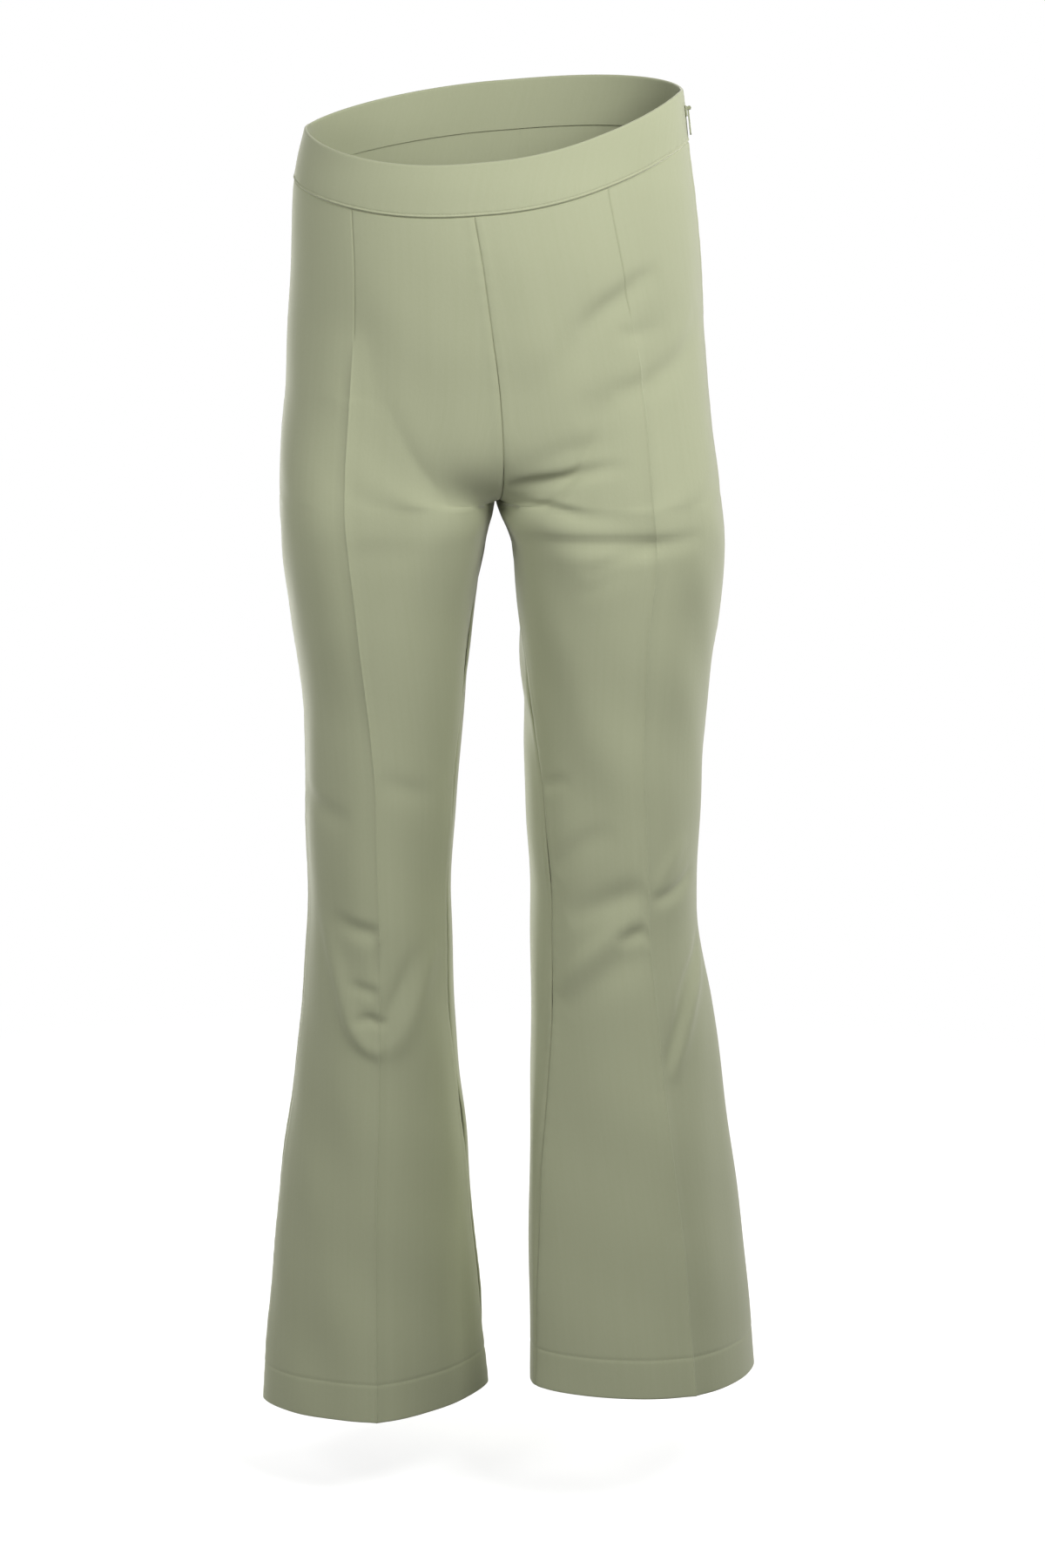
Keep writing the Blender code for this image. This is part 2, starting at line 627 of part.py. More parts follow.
def mesh_of(shape, name):
    bmesh.ops.recalc_face_normals(shape, faces=shape.faces)
    mesh = bpy.data.meshes.new(name)
    shape.to_mesh(mesh)
    shape.free()
    return mesh


def combine(piece, mesh, operation):
    """Join a mesh to a piece, or cut it away, with a Boolean modifier."""
    tool = bpy.data.objects.new(f"{piece.name}_{mesh.name}", mesh)
    bpy.context.collection.objects.link(tool)
    tool.parent = piece
    tool.hide_render = True
    tool.display_type = "WIRE"
    step = piece.modifiers.new(mesh.name, "BOOLEAN")
    step.operation = operation
    step.object = tool


def make_zip_slider(material):
    """The slider: a small plate with two ears that carry the pin of the pull tab."""
    base = box_mesh("zip_slider", (SLIDER_WIDTH, SLIDER_LENGTH, SLIDER_WALL),
                    (0.0, 0.0, SLIDER_WALL / 2), SLIDER_BEVEL)
    slider = new_object("zip_slider", base, material)
    slider.matrix_world = slider_frame()
    ear_place = EYE_WIDTH / 2 + EAR_GAP + EAR_WALL / 2
    ear_top = PIN_RISE + PIN_RADIUS + EAR_RIM
    ear_foot = SLIDER_WALL / 2
    for number, way in enumerate((-1, 1)):
        ear = box_mesh(f"ear_{number}", (EAR_WALL, EAR_LENGTH, ear_top - ear_foot),
                       (way * ear_place, PIN_ALONG, (ear_top + ear_foot) / 2))
        combine(slider, ear, "UNION")
    pin = rod_mesh("pin", PIN_RADIUS, 2 * ear_place, (0.0, PIN_ALONG, PIN_RISE))
    combine(slider, pin, "UNION")


def tab_outline():
    """Teardrop seen from outside: half widths down the tab, then a round end."""
    steps = 6
    straight = TAB_LENGTH - TAB_WIDTH / 2
    outline = []
    for step in range(steps):
        down = straight * step / steps
        wide = TAB_NECK + (TAB_WIDTH - TAB_NECK) * float(smooth_step(step / steps))
        outline.append((wide / 2, -down))
    for step in range(steps + 1):
        angle = math.pi * step / (2 * steps)
        outline.append((TAB_WIDTH / 2 * math.cos(angle),
                        -straight - TAB_WIDTH / 2 * math.sin(angle)))
    return outline + [(-x, y) for x, y in reversed(outline[:-1])]


def make_zip_pull(material):
    """The pull tab, hanging closed; its origin is on the pin's axis."""
    shape = bmesh.new()
    level = TAB_LEVEL - TAB_WALL / 2
    ring = [shape.verts.new((x, y, level)) for x, y in tab_outline()]
    face = shape.faces.new(ring)
    grown = bmesh.ops.extrude_face_region(shape, geom=[face])
    moved = [item for item in grown["geom"] if isinstance(item, bmesh.types.BMVert)]
    bmesh.ops.translate(shape, verts=moved, vec=(0.0, 0.0, TAB_WALL))
    tab = new_object("zip_pull", mesh_of(shape, "zip_pull"), material)
    tab.matrix_world = slider_frame() @ Matrix.Translation((0.0, PIN_ALONG, PIN_RISE))
    combine(tab, rod_mesh("barrel", EYE_RADIUS, EYE_WIDTH, (0.0, 0.0, 0.0)), "UNION")
    combine(tab, rod_mesh("bore", EYE_BORE, 2 * EYE_WIDTH, (0.0, 0.0, 0.0)), "DIFFERENCE")


def main():
    for piece in list(bpy.data.objects):
        bpy.data.objects.remove(piece)
    materials = {}
    for name, (colour, roughness, metallic) in MATERIALS.items():
        material = bpy.data.materials.new(name)
        material.use_nodes = True
        shader = material.node_tree.nodes["Principled BSDF"]
        shader.inputs["Base Color"].default_value = (*colour, 1.0)
        shader.inputs["Roughness"].default_value = roughness
        shader.inputs["Metallic"].default_value = metallic
        materials[name] = material
    make_leg_panels(materials["sage_crepe"])
    make_waistband(materials["sage_crepe"])
    make_zip_tape(materials["zip_tape"])
    make_zip_slider(materials["zip_enamel"])
    make_zip_pull(materials["zip_enamel"])


main()
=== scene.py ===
"""High-rise flared trousers in pale sage crepe, hollow and in their worn shape.

Metres, +Z up.  The front faces -Y and the wearer's left is +X.  The origin is the middle
of the waistband.  A place on the cloth is given by the side of the wearer (+1 left,
-1 right), a line number and a height.  Line 0 is the centre front seam and, under the
crotch, the inseam; line 1 is the dart and the pressed front crease; line 2 is the side
seam; line 3 is the back crease; line 4 is the centre back seam and the inseam again.
"""

import math
from collections import namedtuple

import bpy
import numpy as np
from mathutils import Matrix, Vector


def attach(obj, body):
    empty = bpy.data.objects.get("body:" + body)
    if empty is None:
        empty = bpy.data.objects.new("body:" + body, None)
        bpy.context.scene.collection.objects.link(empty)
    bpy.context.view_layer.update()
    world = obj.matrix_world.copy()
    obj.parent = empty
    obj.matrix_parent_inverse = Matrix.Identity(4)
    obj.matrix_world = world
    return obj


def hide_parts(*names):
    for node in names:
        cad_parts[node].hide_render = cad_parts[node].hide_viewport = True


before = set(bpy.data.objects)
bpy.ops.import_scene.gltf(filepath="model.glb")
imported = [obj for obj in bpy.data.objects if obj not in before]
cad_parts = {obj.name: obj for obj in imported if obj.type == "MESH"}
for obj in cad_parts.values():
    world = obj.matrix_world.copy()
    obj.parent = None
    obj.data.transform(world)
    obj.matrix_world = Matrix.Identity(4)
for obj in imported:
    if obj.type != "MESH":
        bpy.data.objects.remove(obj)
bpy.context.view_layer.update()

# ---------------- the garment's own sizes
CLOTH = 0.0011              # thickness of the crepe
HEM_CLOTH = 0.0022          # where the hem is turned up
BAND_CLOTH = 0.0028         # doubled and interfaced waistband
BAND_HEIGHT = 0.040
BAND_PROUD = 0.0006         # the band stands this far out from the panels
HEM_HEIGHT = 0.032

WAIST_SIDE_TOP = 0.020      # top edge at the side seams, mean of both sides
WAIST_ROLL = math.radians(5.0)   # the wearer's left hip is higher
FRONT_DIP = 0.041           # the centre front lies this far under the sides
FRONT_DIP_POWER = 1.6
BACK_RISE = 0.022           # the centre back lies this far over the sides
BACK_RISE_POWER = 1.2
WAIST_ANGLES = (0.0, 38.0, 90.0, 142.0, 180.0)   # of the five lines, round the waist
WAIST_HALF_BREADTH = 0.149

THIGH_TOP = -0.130          # under here the hips part into two thighs, away from the seams
FORK_TOP = -0.200           # the centre seams start to curve under here
CROTCH = -0.287
FORK_WEB = 0.030            # beside them it runs this far under the crotch
FORK_WEB_REACH = 0.5        # and gets there this far from them, in line numbers
FORK_REACH = 1.0            # the centre seams shape the cloth this far, in line numbers
FORK_CORNER = 0.35          # they turn sharply under the crotch up to here
FORK_POWERS = (3.0, 2.5)    # roundness of that turn at the front and the back
THIGH_POWER = 3.2           # beside it, over 1 the cloth stays flat until further down
FORK_NORMAL = (-0.6, 0.0, -0.8)   # outward direction where four panels meet, wearer's left
HIP_POWER = 2.2             # roundness of the hip sections, 2 is an ellipse

# Heights are in the first column; the rows go from the waist down.
HipRow = namedtuple("HipRow", "height right left front back turn")
HIPS = (
    HipRow(0.045, 0.1440, 0.1465, 0.104, 0.096, 6.0),
    HipRow(0.010, 0.1480, 0.1505, 0.109, 0.098, 6.0),
    HipRow(-0.020, 0.1550, 0.1540, 0.112, 0.101, 5.4),
    HipRow(-0.045, 0.1595, 0.1575, 0.115, 0.105, 4.6),
    HipRow(-0.101, 0.1620, 0.1630, 0.118, 0.117, 2.2),
    HipRow(-0.156, 0.1660, 0.1670, 0.116, 0.128, 0.2),
    HipRow(-0.211, 0.1690, 0.1720, 0.112, 0.131, -1.0),
    HipRow(-0.267, 0.1730, 0.1780, 0.109, 0.121, -1.5),
    HipRow(-0.310, 0.1730, 0.1840, 0.106, 0.110, -1.5),
)

# inner and outer are the edges seen from the front, measured from the middle plane.
LegRow = namedtuple("LegRow", "height inner outer middle depth turn power")
RIGHT_LEG = (
    LegRow(-0.100, 0.0002, 0.1620, 0.000, 0.110, 0.0, 3.0),
    LegRow(-0.200, 0.0002, 0.1685, 0.007, 0.115, 0.0, 3.1),
    LegRow(-0.287, 0.0002, 0.1725, 0.003, 0.111, 0.0, 3.1),
    LegRow(-0.324, 0.0080, 0.1715, 0.000, 0.106, 0.0, 2.75),
    LegRow(-0.380, 0.0180, 0.1660, -0.002, 0.098, 0.0, 2.3),
    LegRow(-0.467, 0.0260, 0.1560, -0.005, 0.085, 0.0, 2.0),
    LegRow(-0.540, 0.0320, 0.1560, -0.007, 0.077, 0.0, 1.95),
    LegRow(-0.620, 0.0365, 0.1545, -0.006, 0.0735, -1.0, 1.85),
    LegRow(-0.702, 0.0350, 0.1600, -0.002, 0.074, -2.0, 1.75),
    LegRow(-0.800, 0.0270, 0.1725, 0.003, 0.077, -3.0, 1.65),
    LegRow(-0.900, 0.0190, 0.1850, 0.004, 0.081, -3.0, 1.58),
    LegRow(-1.055, 0.0070, 0.1985, 0.000, 0.087, -3.0, 1.52),
)
LEFT_LEG = (
    LegRow(-0.100, 0.0002, 0.1630, 0.000, 0.110, 0.0, 3.0),
    LegRow(-0.200, 0.0002, 0.1715, 0.007, 0.115, 0.0, 3.1),
    LegRow(-0.287, 0.0002, 0.1810, 0.001, 0.111, 1.0, 3.1),
    LegRow(-0.324, 0.0130, 0.1845, -0.003, 0.106, 2.0, 2.75),
    LegRow(-0.380, 0.0180, 0.1800, -0.007, 0.098, 3.0, 2.3),
    LegRow(-0.467, 0.0230, 0.1700, -0.014, 0.085, 9.0, 2.0),
    LegRow(-0.540, 0.0245, 0.1665, -0.020, 0.077, 18.0, 1.95),
    LegRow(-0.620, 0.0285, 0.1640, -0.024, 0.0735, 22.0, 1.85),
    LegRow(-0.702, 0.0290, 0.1775, -0.026, 0.074, 23.0, 1.75),
    LegRow(-0.800, 0.0280, 0.1912, -0.030, 0.077, 24.0, 1.65),
    LegRow(-0.900, 0.0275, 0.2055, -0.035, 0.081, 27.0, 1.58),
    LegRow(-1.035, 0.0290, 0.2195, -0.044, 0.087, 28.0, 1.52),
)

# Angles round the section of the five lines.  Hip: from the centre front.
# Leg: from its innermost point, forwards.
HipLine = namedtuple("HipLine", "height dart side back_dart")
HIP_LINES = (
    HipLine(0.045, 35.5, 90.0, 142.0),
    HipLine(-0.100, 37.5, 90.0, 141.0),
    HipLine(-0.200, 40.0, 90.0, 138.0),
    HipLine(-0.310, 43.0, 90.0, 134.0),
)
LegLine = namedtuple("LegLine", "height inseam crease side back_crease")
LEG_LINES = (
    LegLine(-0.100, 0.0, 99.0, 180.0, 258.0),
    LegLine(-0.287, 0.0, 101.0, 180.0, 265.0),
    LegLine(-0.350, 5.0, 100.0, 179.0, 268.0),
    LegLine(-0.430, 13.0, 99.0, 177.0, 270.0),
    LegLine(-0.530, 20.0, 91.0, 172.0, 270.0),
    LegLine(-0.700, 19.0, 88.0, 172.0, 270.0),
    LegLine(-0.850, 11.0, 90.0, 176.0, 270.0),
    LegLine(-1.050, 0.0, 90.0, 180.0, 270.0),
)

# Height of the hem edge at the five lines.
HEM_LINES = {
    -1: (-1.0425, -1.0445, -1.0530, -1.0540, -1.0425),
    1: (-1.0100, -1.0090, -1.0190, -1.0200, -1.0100),
}

# ---------------- seams, darts and presses
SEAM_DEPTH = 0.0005
SEAM_WIDTH = 0.0007
SEAM_SWELL = 0.00022        # the turnings under the cloth lift it beside the seam
SEAM_SWELL_AT = 0.0045
SEAM_SWELL_WIDTH = 0.0030
PUCKER_HEIGHT = 0.00010
PUCKER_LENGTH = 0.017       # from one pucker to the next along a seam
PUCKER_REACH = 0.007
PUCKER_DRIFT = (2.0, 61.0)  # by how much that length wanders, and how fast down the seam
DART_LENGTH = 0.105
DART_FADE = 0.012
DART_DEPTH = 0.0005
DART_WIDTH = 0.0007
CREASE_HEIGHT = 0.0014
CREASE_WIDTH = 0.0085
CREASE_POWER = 1.7          # over 1 its sides are hollow
CREASE_START = 0.8          # the crease starts at this share of the dart's length
CREASE_FADE = 0.060         # and rises over this length
CREASE_EDGE = 0.00035       # height of the fine pressed edge on top of the crease
CREASE_EDGE_WIDTH = 0.0008
HEM_LINE_DEPTH = 0.00035    # the hem's catch stitches draw the cloth in by this
HEM_LINE_WIDTH = 0.0014
HEM_STEP = 0.004            # the cloth grows to the hem's thickness over this height
FOLD_ROUND = 0.98           # roundness of the folded edges of hem and band, 1 is a circle
ZIP_LENGTH = 0.180
ZIP_LIP_HEIGHT = 0.0007     # the folded edges over the zip stand proud of the hip
ZIP_LIP_AT = 0.0022
ZIP_LIP_WIDTH = 0.0019
ZIP_LIP_FADE = 0.010
ZIP_SEAM = 0.6              # the seam between them is deeper by this share
ROLL_HEIGHT = 0.00045       # the band's lower edge, between its stitching and the seam
ROLL_AT = 0.0013
ROLL_WIDTH = 0.0008
STITCH_LINE = 0.0027        # the band's edge stitching over its lower seam
STITCH_GROOVE = 0.00030
STITCH_GROOVE_WIDTH = 0.0006
STITCH_PITCH = 0.0029
STITCH_LENGTH = 0.0022
STITCH_RADIUS = 0.00017
STITCH_LIFT = 0.00005
BAND_WAVE = 0.013           # length of the waves that the edge stitching pulls up
BAND_WAVE_DRIFT = (2.2, 47.0)
BAND_WAVE_REACH = 0.004
BAND_BULGE = 0.0003         # slow unevenness of the band's face
BAND_BULGE_TURN = 34.0      # radians of it in a metre
SEAM_SHADE_WIDTH = 0.0009   # painted shade darkens the cloth this near a seam, this near the waistband seam and this near it on the band
WAIST_SHADE_WIDTH = 0.0010  # this near the waistband seam
BAND_SHADE_WIDTH = 0.0011   # and this near it on the band
DART_SHADE = 0.9            # a dart's share of that
TAPE_DROP = 0.006           # the zip's tapes start this far under the band's top edge
TAPE_REACH = 0.17           # they reach this far from the seam, in line numbers
TAPE_GAP = 0.002            # and start this far from it
TAPE_UNDER = 0.0030         # their outer face lies this far inside the cloth's
TAPE_CLOTH = 0.0006
COIL_PITCH = 0.0012
COIL_RADIUS = 0.00024       # of its wire
COIL_HALF_WIDTH = 0.0010
COIL_HALF_DEPTH = 0.0006
COIL_BESIDE = 0.0013        # each tape's coil lies this far from the seam
CATCH_PITCH = 0.0065
CATCH_LENGTH = 0.0009
CATCH_RADIUS = 0.00016

# Folds, each along a smooth path through (line, height) places.  A negative depth is a
# trough, a positive one a ridge; above and under are its widths on those two sides.
Fold = namedtuple("Fold", "side path above under depth")
FOLDS = (
    # left hip, front
    Fold(1, ((1.28, -0.098), (1.10, -0.106), (0.98, -0.115), (0.74, -0.129), (0.56, -0.146)),
         0.0075, 0.013, -0.0026),
    Fold(1, ((1.02, -0.112), (0.74, -0.129), (0.51, -0.151), (0.30, -0.175), (0.12, -0.196)),
         0.015, 0.019, -0.0018),
    Fold(1, ((1.70, -0.128), (1.49, -0.155), (1.30, -0.170), (1.01, -0.185), (0.80, -0.193)),
         0.0080, 0.014, -0.0025),
    Fold(1, ((1.10, -0.182), (0.67, -0.198), (0.44, -0.209)), 0.013, 0.017, -0.0018),
    Fold(1, ((0.84, -0.144), (0.95, -0.148), (1.08, -0.145), (1.28, -0.140)),
         0.0055, 0.0080, -0.0008),
    # left crotch: whiskers that fan out from the fork
    Fold(1, ((0.09, -0.250), (0.32, -0.238), (0.52, -0.232), (0.90, -0.227)),
         0.010, 0.010, -0.0016),
    Fold(1, ((0.01, -0.268), (0.12, -0.265), (0.28, -0.262), (0.48, -0.258), (0.75, -0.254),
             (0.92, -0.249)), 0.0058, 0.0068, -0.0040),
    Fold(1, ((0.08, -0.291), (0.23, -0.283), (0.43, -0.282), (0.66, -0.284), (0.80, -0.288),
             (0.92, -0.291)), 0.0032, 0.0070, -0.0026),
    Fold(1, ((0.26, -0.309), (0.54, -0.308), (0.78, -0.309), (0.96, -0.309), (1.11, -0.308),
             (1.38, -0.304)), 0.0048, 0.0090, -0.0034),
    Fold(1, ((1.03, -0.311), (0.93, -0.316), (0.85, -0.325), (0.71, -0.335)),
         0.0055, 0.0075, -0.0020),
    Fold(1, ((0.94, -0.328), (0.82, -0.339), (0.66, -0.353)), 0.0060, 0.0080, -0.0011),
    # the groin, filled out where the hip passes over into the thigh
    Fold(1, ((1.00, -0.140), (0.86, -0.175), (0.72, -0.206), (0.62, -0.232), (0.52, -0.250),
             (0.38, -0.264)), 0.020, 0.020, 0.0034),
    Fold(-1, ((1.00, -0.140), (0.86, -0.175), (0.74, -0.206), (0.64, -0.232), (0.54, -0.250),
              (0.38, -0.264)), 0.020, 0.020, 0.0034),
    # left knee and calf, front
    Fold(1, ((0.00, -0.510), (0.14, -0.506), (0.34, -0.500)), 0.0055, 0.0075, -0.0016),
    Fold(1, ((0.10, -0.578), (0.24, -0.563), (0.42, -0.548), (0.70, -0.537)),
         0.009, 0.013, -0.0018),
    Fold(1, ((0.20, -0.612), (0.54, -0.598), (0.80, -0.589), (0.98, -0.585)),
         0.012, 0.010, -0.0030),
    Fold(1, ((0.06, -0.676), (0.30, -0.652), (0.60, -0.626), (0.92, -0.604)),
         0.008, 0.012, 0.0026),
    Fold(1, ((0.66, -0.632), (0.84, -0.625), (0.99, -0.622)), 0.0060, 0.0075, -0.0026),
    Fold(1, ((0.96, -0.634), (0.74, -0.644), (0.50, -0.660), (0.18, -0.692)),
         0.012, 0.016, -0.0018),
    Fold(1, ((1.02, -0.599), (1.20, -0.596), (1.38, -0.588), (1.56, -0.577)),
         0.0050, 0.0070, -0.0026),
    Fold(1, ((1.06, -0.590), (1.25, -0.568), (1.42, -0.548)), 0.0070, 0.0080, 0.0013),
    Fold(1, ((1.70, -0.632), (1.58, -0.648), (1.37, -0.668), (1.24, -0.694), (1.14, -0.718),
             (1.03, -0.740)), 0.0060, 0.0060, -0.0026),
    Fold(1, ((1.72, -0.645), (1.55, -0.668), (1.38, -0.690), (1.22, -0.724), (1.12, -0.748)),
         0.0070, 0.0080, 0.0026),
    Fold(1, ((0.97, -0.750), (0.97, -0.800), (0.98, -0.862)), 0.014, 0.014, 0.0010),
    # right thigh, front
    Fold(-1, ((1.04, -0.316), (0.89, -0.314), (0.70, -0.315)), 0.009, 0.014, -0.0007),
    # right knee and calf, front
    Fold(-1, ((1.90, -0.518), (1.60, -0.526), (1.24, -0.535)), 0.008, 0.012, -0.0018),
    Fold(-1, ((0.98, -0.498), (0.66, -0.508), (0.34, -0.517)), 0.009, 0.012, -0.0012),
    Fold(-1, ((1.50, -0.616), (1.27, -0.624), (1.09, -0.627), (0.99, -0.629)),
         0.0060, 0.0095, -0.0026),
    Fold(-1, ((1.34, -0.673), (1.15, -0.677), (1.00, -0.680)), 0.0045, 0.0065, -0.0018),
    Fold(-1, ((1.30, -0.706), (1.14, -0.701), (1.00, -0.704), (0.86, -0.706)),
         0.0042, 0.0062, -0.0024),
    Fold(-1, ((1.01, -0.634), (1.04, -0.652), (1.02, -0.670)), 0.0050, 0.0050, -0.0010),
    Fold(-1, ((0.92, -0.703), (0.75, -0.675), (0.56, -0.642)), 0.0070, 0.0070, -0.0014),
    Fold(-1, ((1.66, -0.612), (1.46, -0.663), (1.30, -0.706), (1.12, -0.724), (0.92, -0.725)),
         0.010, 0.0062, 0.0030),
    Fold(-1, ((1.10, -0.726), (0.80, -0.720), (0.60, -0.696), (0.40, -0.662), (0.26, -0.640)),
         0.0095, 0.012, 0.0022),
    # under the seat
    Fold(1, ((3.86, -0.300), (3.40, -0.313), (3.00, -0.318), (2.66, -0.312)),
         0.008, 0.012, -0.0036),
    Fold(1, ((3.80, -0.326), (3.36, -0.342), (2.96, -0.352)), 0.009, 0.012, -0.0022),
    Fold(-1, ((3.86, -0.303), (3.44, -0.319), (3.06, -0.322), (2.74, -0.310)),
         0.008, 0.012, -0.0036),
    Fold(-1, ((3.56, -0.345), (3.16, -0.356), (2.78, -0.348)), 0.010, 0.012, -0.0022),
    # the seat, filled out in the same way as the groin
    *(Fold(side, ((3.00, -0.150), (3.14, -0.184), (3.28, -0.214), (3.38, -0.238),
                  (3.48, -0.254), (3.62, -0.266)), 0.020, 0.020, 0.0030)
      for side in (-1, 1)),
    # seat: soft drags from the side seams
    Fold(1, ((2.10, -0.168), (2.44, -0.176), (2.86, -0.196)), 0.014, 0.016, -0.0013),
    Fold(-1, ((2.16, -0.182), (2.54, -0.196), (2.92, -0.222)), 0.014, 0.016, -0.0013),
    # behind the knees
    Fold(1, ((3.66, -0.502), (3.16, -0.520), (2.60, -0.531)), 0.009, 0.012, -0.0030),
    Fold(1, ((3.40, -0.556), (3.00, -0.552), (2.62, -0.541)), 0.009, 0.011, -0.0024),
    Fold(-1, ((3.58, -0.534), (3.02, -0.526), (2.48, -0.509)), 0.009, 0.012, -0.0030),
    Fold(-1, ((3.68, -0.556), (3.28, -0.570), (2.88, -0.574)), 0.009, 0.011, -0.0022),
    # calves, behind
    Fold(1, ((2.36, -0.650), (2.64, -0.690), (3.00, -0.726)), 0.010, 0.011, 0.0026),
    Fold(1, ((3.30, -0.640), (3.10, -0.680), (2.98, -0.722)), 0.011, 0.011, -0.0016),
    Fold(-1, ((3.62, -0.655), (3.32, -0.700), (3.02, -0.738)), 0.010, 0.011, 0.0026),
    Fold(-1, ((2.52, -0.640), (2.74, -0.676), (2.96, -0.722)), 0.011, 0.011, -0.0016),
)
FOLD_STEPS = 24             # pieces of a fold's middle line
FOLD_MIDDLE = 0.6           # it lies this far under the path, in the fold's upper width,
                            # because light from above draws the fold at its upper wall
FOLD_TAPER = 0.8            # under 1 a fold keeps its depth until near its ends
FOLD_SHOULDER = 0.30        # a fold pushes up softer, wider shoulders beside it,
FOLD_SHOULDER_WIDTH = 1.9   # this many times as wide
FOLD_REACH = 4.0            # its effect ends this many widths away

# Slow, shallow unevenness of hanging cloth: wave lengths round and down, and height.
Ripple = namedtuple("Ripple", "round down phase height")
RIPPLES = (
    Ripple(0.071, 0.430, 0.4, 0.00035),
    Ripple(0.113, 0.260, 1.9, 0.00045),
    Ripple(0.049, 0.610, 3.1, 0.00018),
    Ripple(0.190, 0.097, 4.4, 0.00030),
)

RIPPLE_START = 0.06         # they start this far under the band's top edge
RIPPLE_FADE = 0.15

COLUMNS = 52                # of the fine grid, from line to line
COLUMN_PINCH = 0.86         # 0 spaces them evenly, near 1 they crowd at the lines
HIP_STEPS = 78
FORK_STEPS = 44
LEG_STEPS = 280
HEM_STEPS = 18
BAND_COLUMNS = 110
BAND_STEPS = 44
ROW_PINCH = 0.90
LEG_PINCH = 0.6
FORK_ROWS = (0.2, 0.7)      # rows crowd under the fork up to the first line number from a
                            # centre seam, and are even after the second one more
TAPE_COLUMNS = 10
TAPE_ROWS = 60
COIL_STEPS = 10             # rings in one turn of the coil
COIL_SIDES = 5


# ---------------- table and shape helpers
def table_value(rows, column, height):
    """Curve through one column of a table that never overshoots, read at any heights."""
    knots = np.array([row.height for row in rows])[::-1]
    values = np.array([getattr(row, column) for row in rows])[::-1]
    steps = np.diff(values) / np.diff(knots)
    before, after = steps[:-1], steps[1:]
    same_way = before * after > 0.0
    mean = 2.0 * before * after / np.where(same_way, before + after, 1.0)
    slopes = np.concatenate([steps[:1], np.where(same_way, mean, 0.0), steps[-1:]])
    at = np.clip(np.asarray(height, dtype=float), knots[0], knots[-1])
    low = np.clip(np.searchsorted(knots, at) - 1, 0, len(knots) - 2)
    span = knots[low + 1] - knots[low]
    s = (at - knots[low]) / span
    rise = s * s * (3.0 - 2.0 * s)
    return (
        values[low] * (1.0 - rise)
        + values[low + 1] * rise
        + span * slopes[low] * s * (1.0 - s) ** 2
        - span * slopes[low + 1] * s * s * (1.0 - s)
    )


def smooth_step(value):
    value = np.clip(value, 0.0, 1.0)
    return value * value * (3.0 - 2.0 * value)


def bell(gap, width):
    return np.exp(-(gap / width) ** 2)


def uneven_wave(place, length, drift, drift_turn):
    """A sine along a seam whose length wanders."""
    return np.sin(2 * np.pi * place / length + drift * np.sin(place * drift_turn))


def rounded_edge(away, radius):
    """How far a folded edge draws in, at a distance from it."""
    fall = np.clip(1.0 - away / radius, 0.0, 1.0)
    return radius * (1.0 - np.sqrt(1.0 - FOLD_ROUND * fall * fall))


def unit(vectors):
    return vectors / np.linalg.norm(vectors, axis=-1, keepdims=True)


def signed_power(value, power):
    return np.sign(value) * np.abs(value) ** power


def between_lines(angles, line):
    """Angle at a fractional line number, from the angles of the five lines."""
    line = np.clip(line, 0.0, 4.0)
    total = np.asarray(angles[0], float)
    for number in range(4):
        step = np.asarray(angles[number + 1]) - np.asarray(angles[number])
        total = total + step * np.clip(line - number, 0.0, 1.0)
    return total


def pinched(steps, pinch, ends):
    """Numbers from 0 to 1 that crowd at the start, or at both ends."""
    even = np.linspace(0.0, 1.0, steps + 1)
    turns = {"start": 1.0, "both": 2.0}[ends]
    return even - pinch * np.sin(turns * np.pi * even) / (turns * np.pi)


# ---------------- the worn surface
def hip_section(side, line, height):
    lines = [table_value(HIP_LINES, name, height) for name in HipLine._fields[1:]]
    lines = [np.zeros_like(height), *lines, np.full_like(height, 180.0)]
    angle = side * between_lines(lines, line) - table_value(HIPS, "turn", height)
    angle = np.radians(angle)
    right, left, front, back = (table_value(HIPS, name, height)
                                for name in ("right", "left", "front", "back"))
    x = (left - right) / 2 + (left + right) / 2 * signed_power(np.sin(angle), 2 / HIP_POWER)
    y = (back - front) / 2 - (back + front) / 2 * signed_power(np.cos(angle), 2 / HIP_POWER)
    return x, y


def leg_section(side, line, height):
    rows = LEFT_LEG if side > 0 else RIGHT_LEG
    lines = [table_value(LEG_LINES, name, height) for name in LegLine._fields[1:]]
    lines.append(360.0 + lines[0])
    angle = np.radians(between_lines(lines, line))
    inner, outer, middle, depth, turn, power = (table_value(rows, name, height)
                                                for name in LegRow._fields[1:])
    turn = np.radians(turn)
    # The half breadth seen from the front belongs to the turned section; its own half
    # width follows from the width that such a rounded section spans when it is turned.
    spread = power / (power - 1.0)
    seen = (outer - inner) / 2
    own = seen ** spread - (depth * np.abs(np.sin(turn))) ** spread
    width = own ** (1.0 / spread) / np.cos(turn)
    across = -width * signed_power(np.cos(angle), 2 / power)
    ahead = depth * signed_power(np.sin(angle), 2 / power)
    x = side * (inner + outer) / 2 + side * (across * np.cos(turn) + ahead * np.sin(turn))
    y = middle + across * np.sin(turn) - ahead * np.cos(turn)
    return x, y


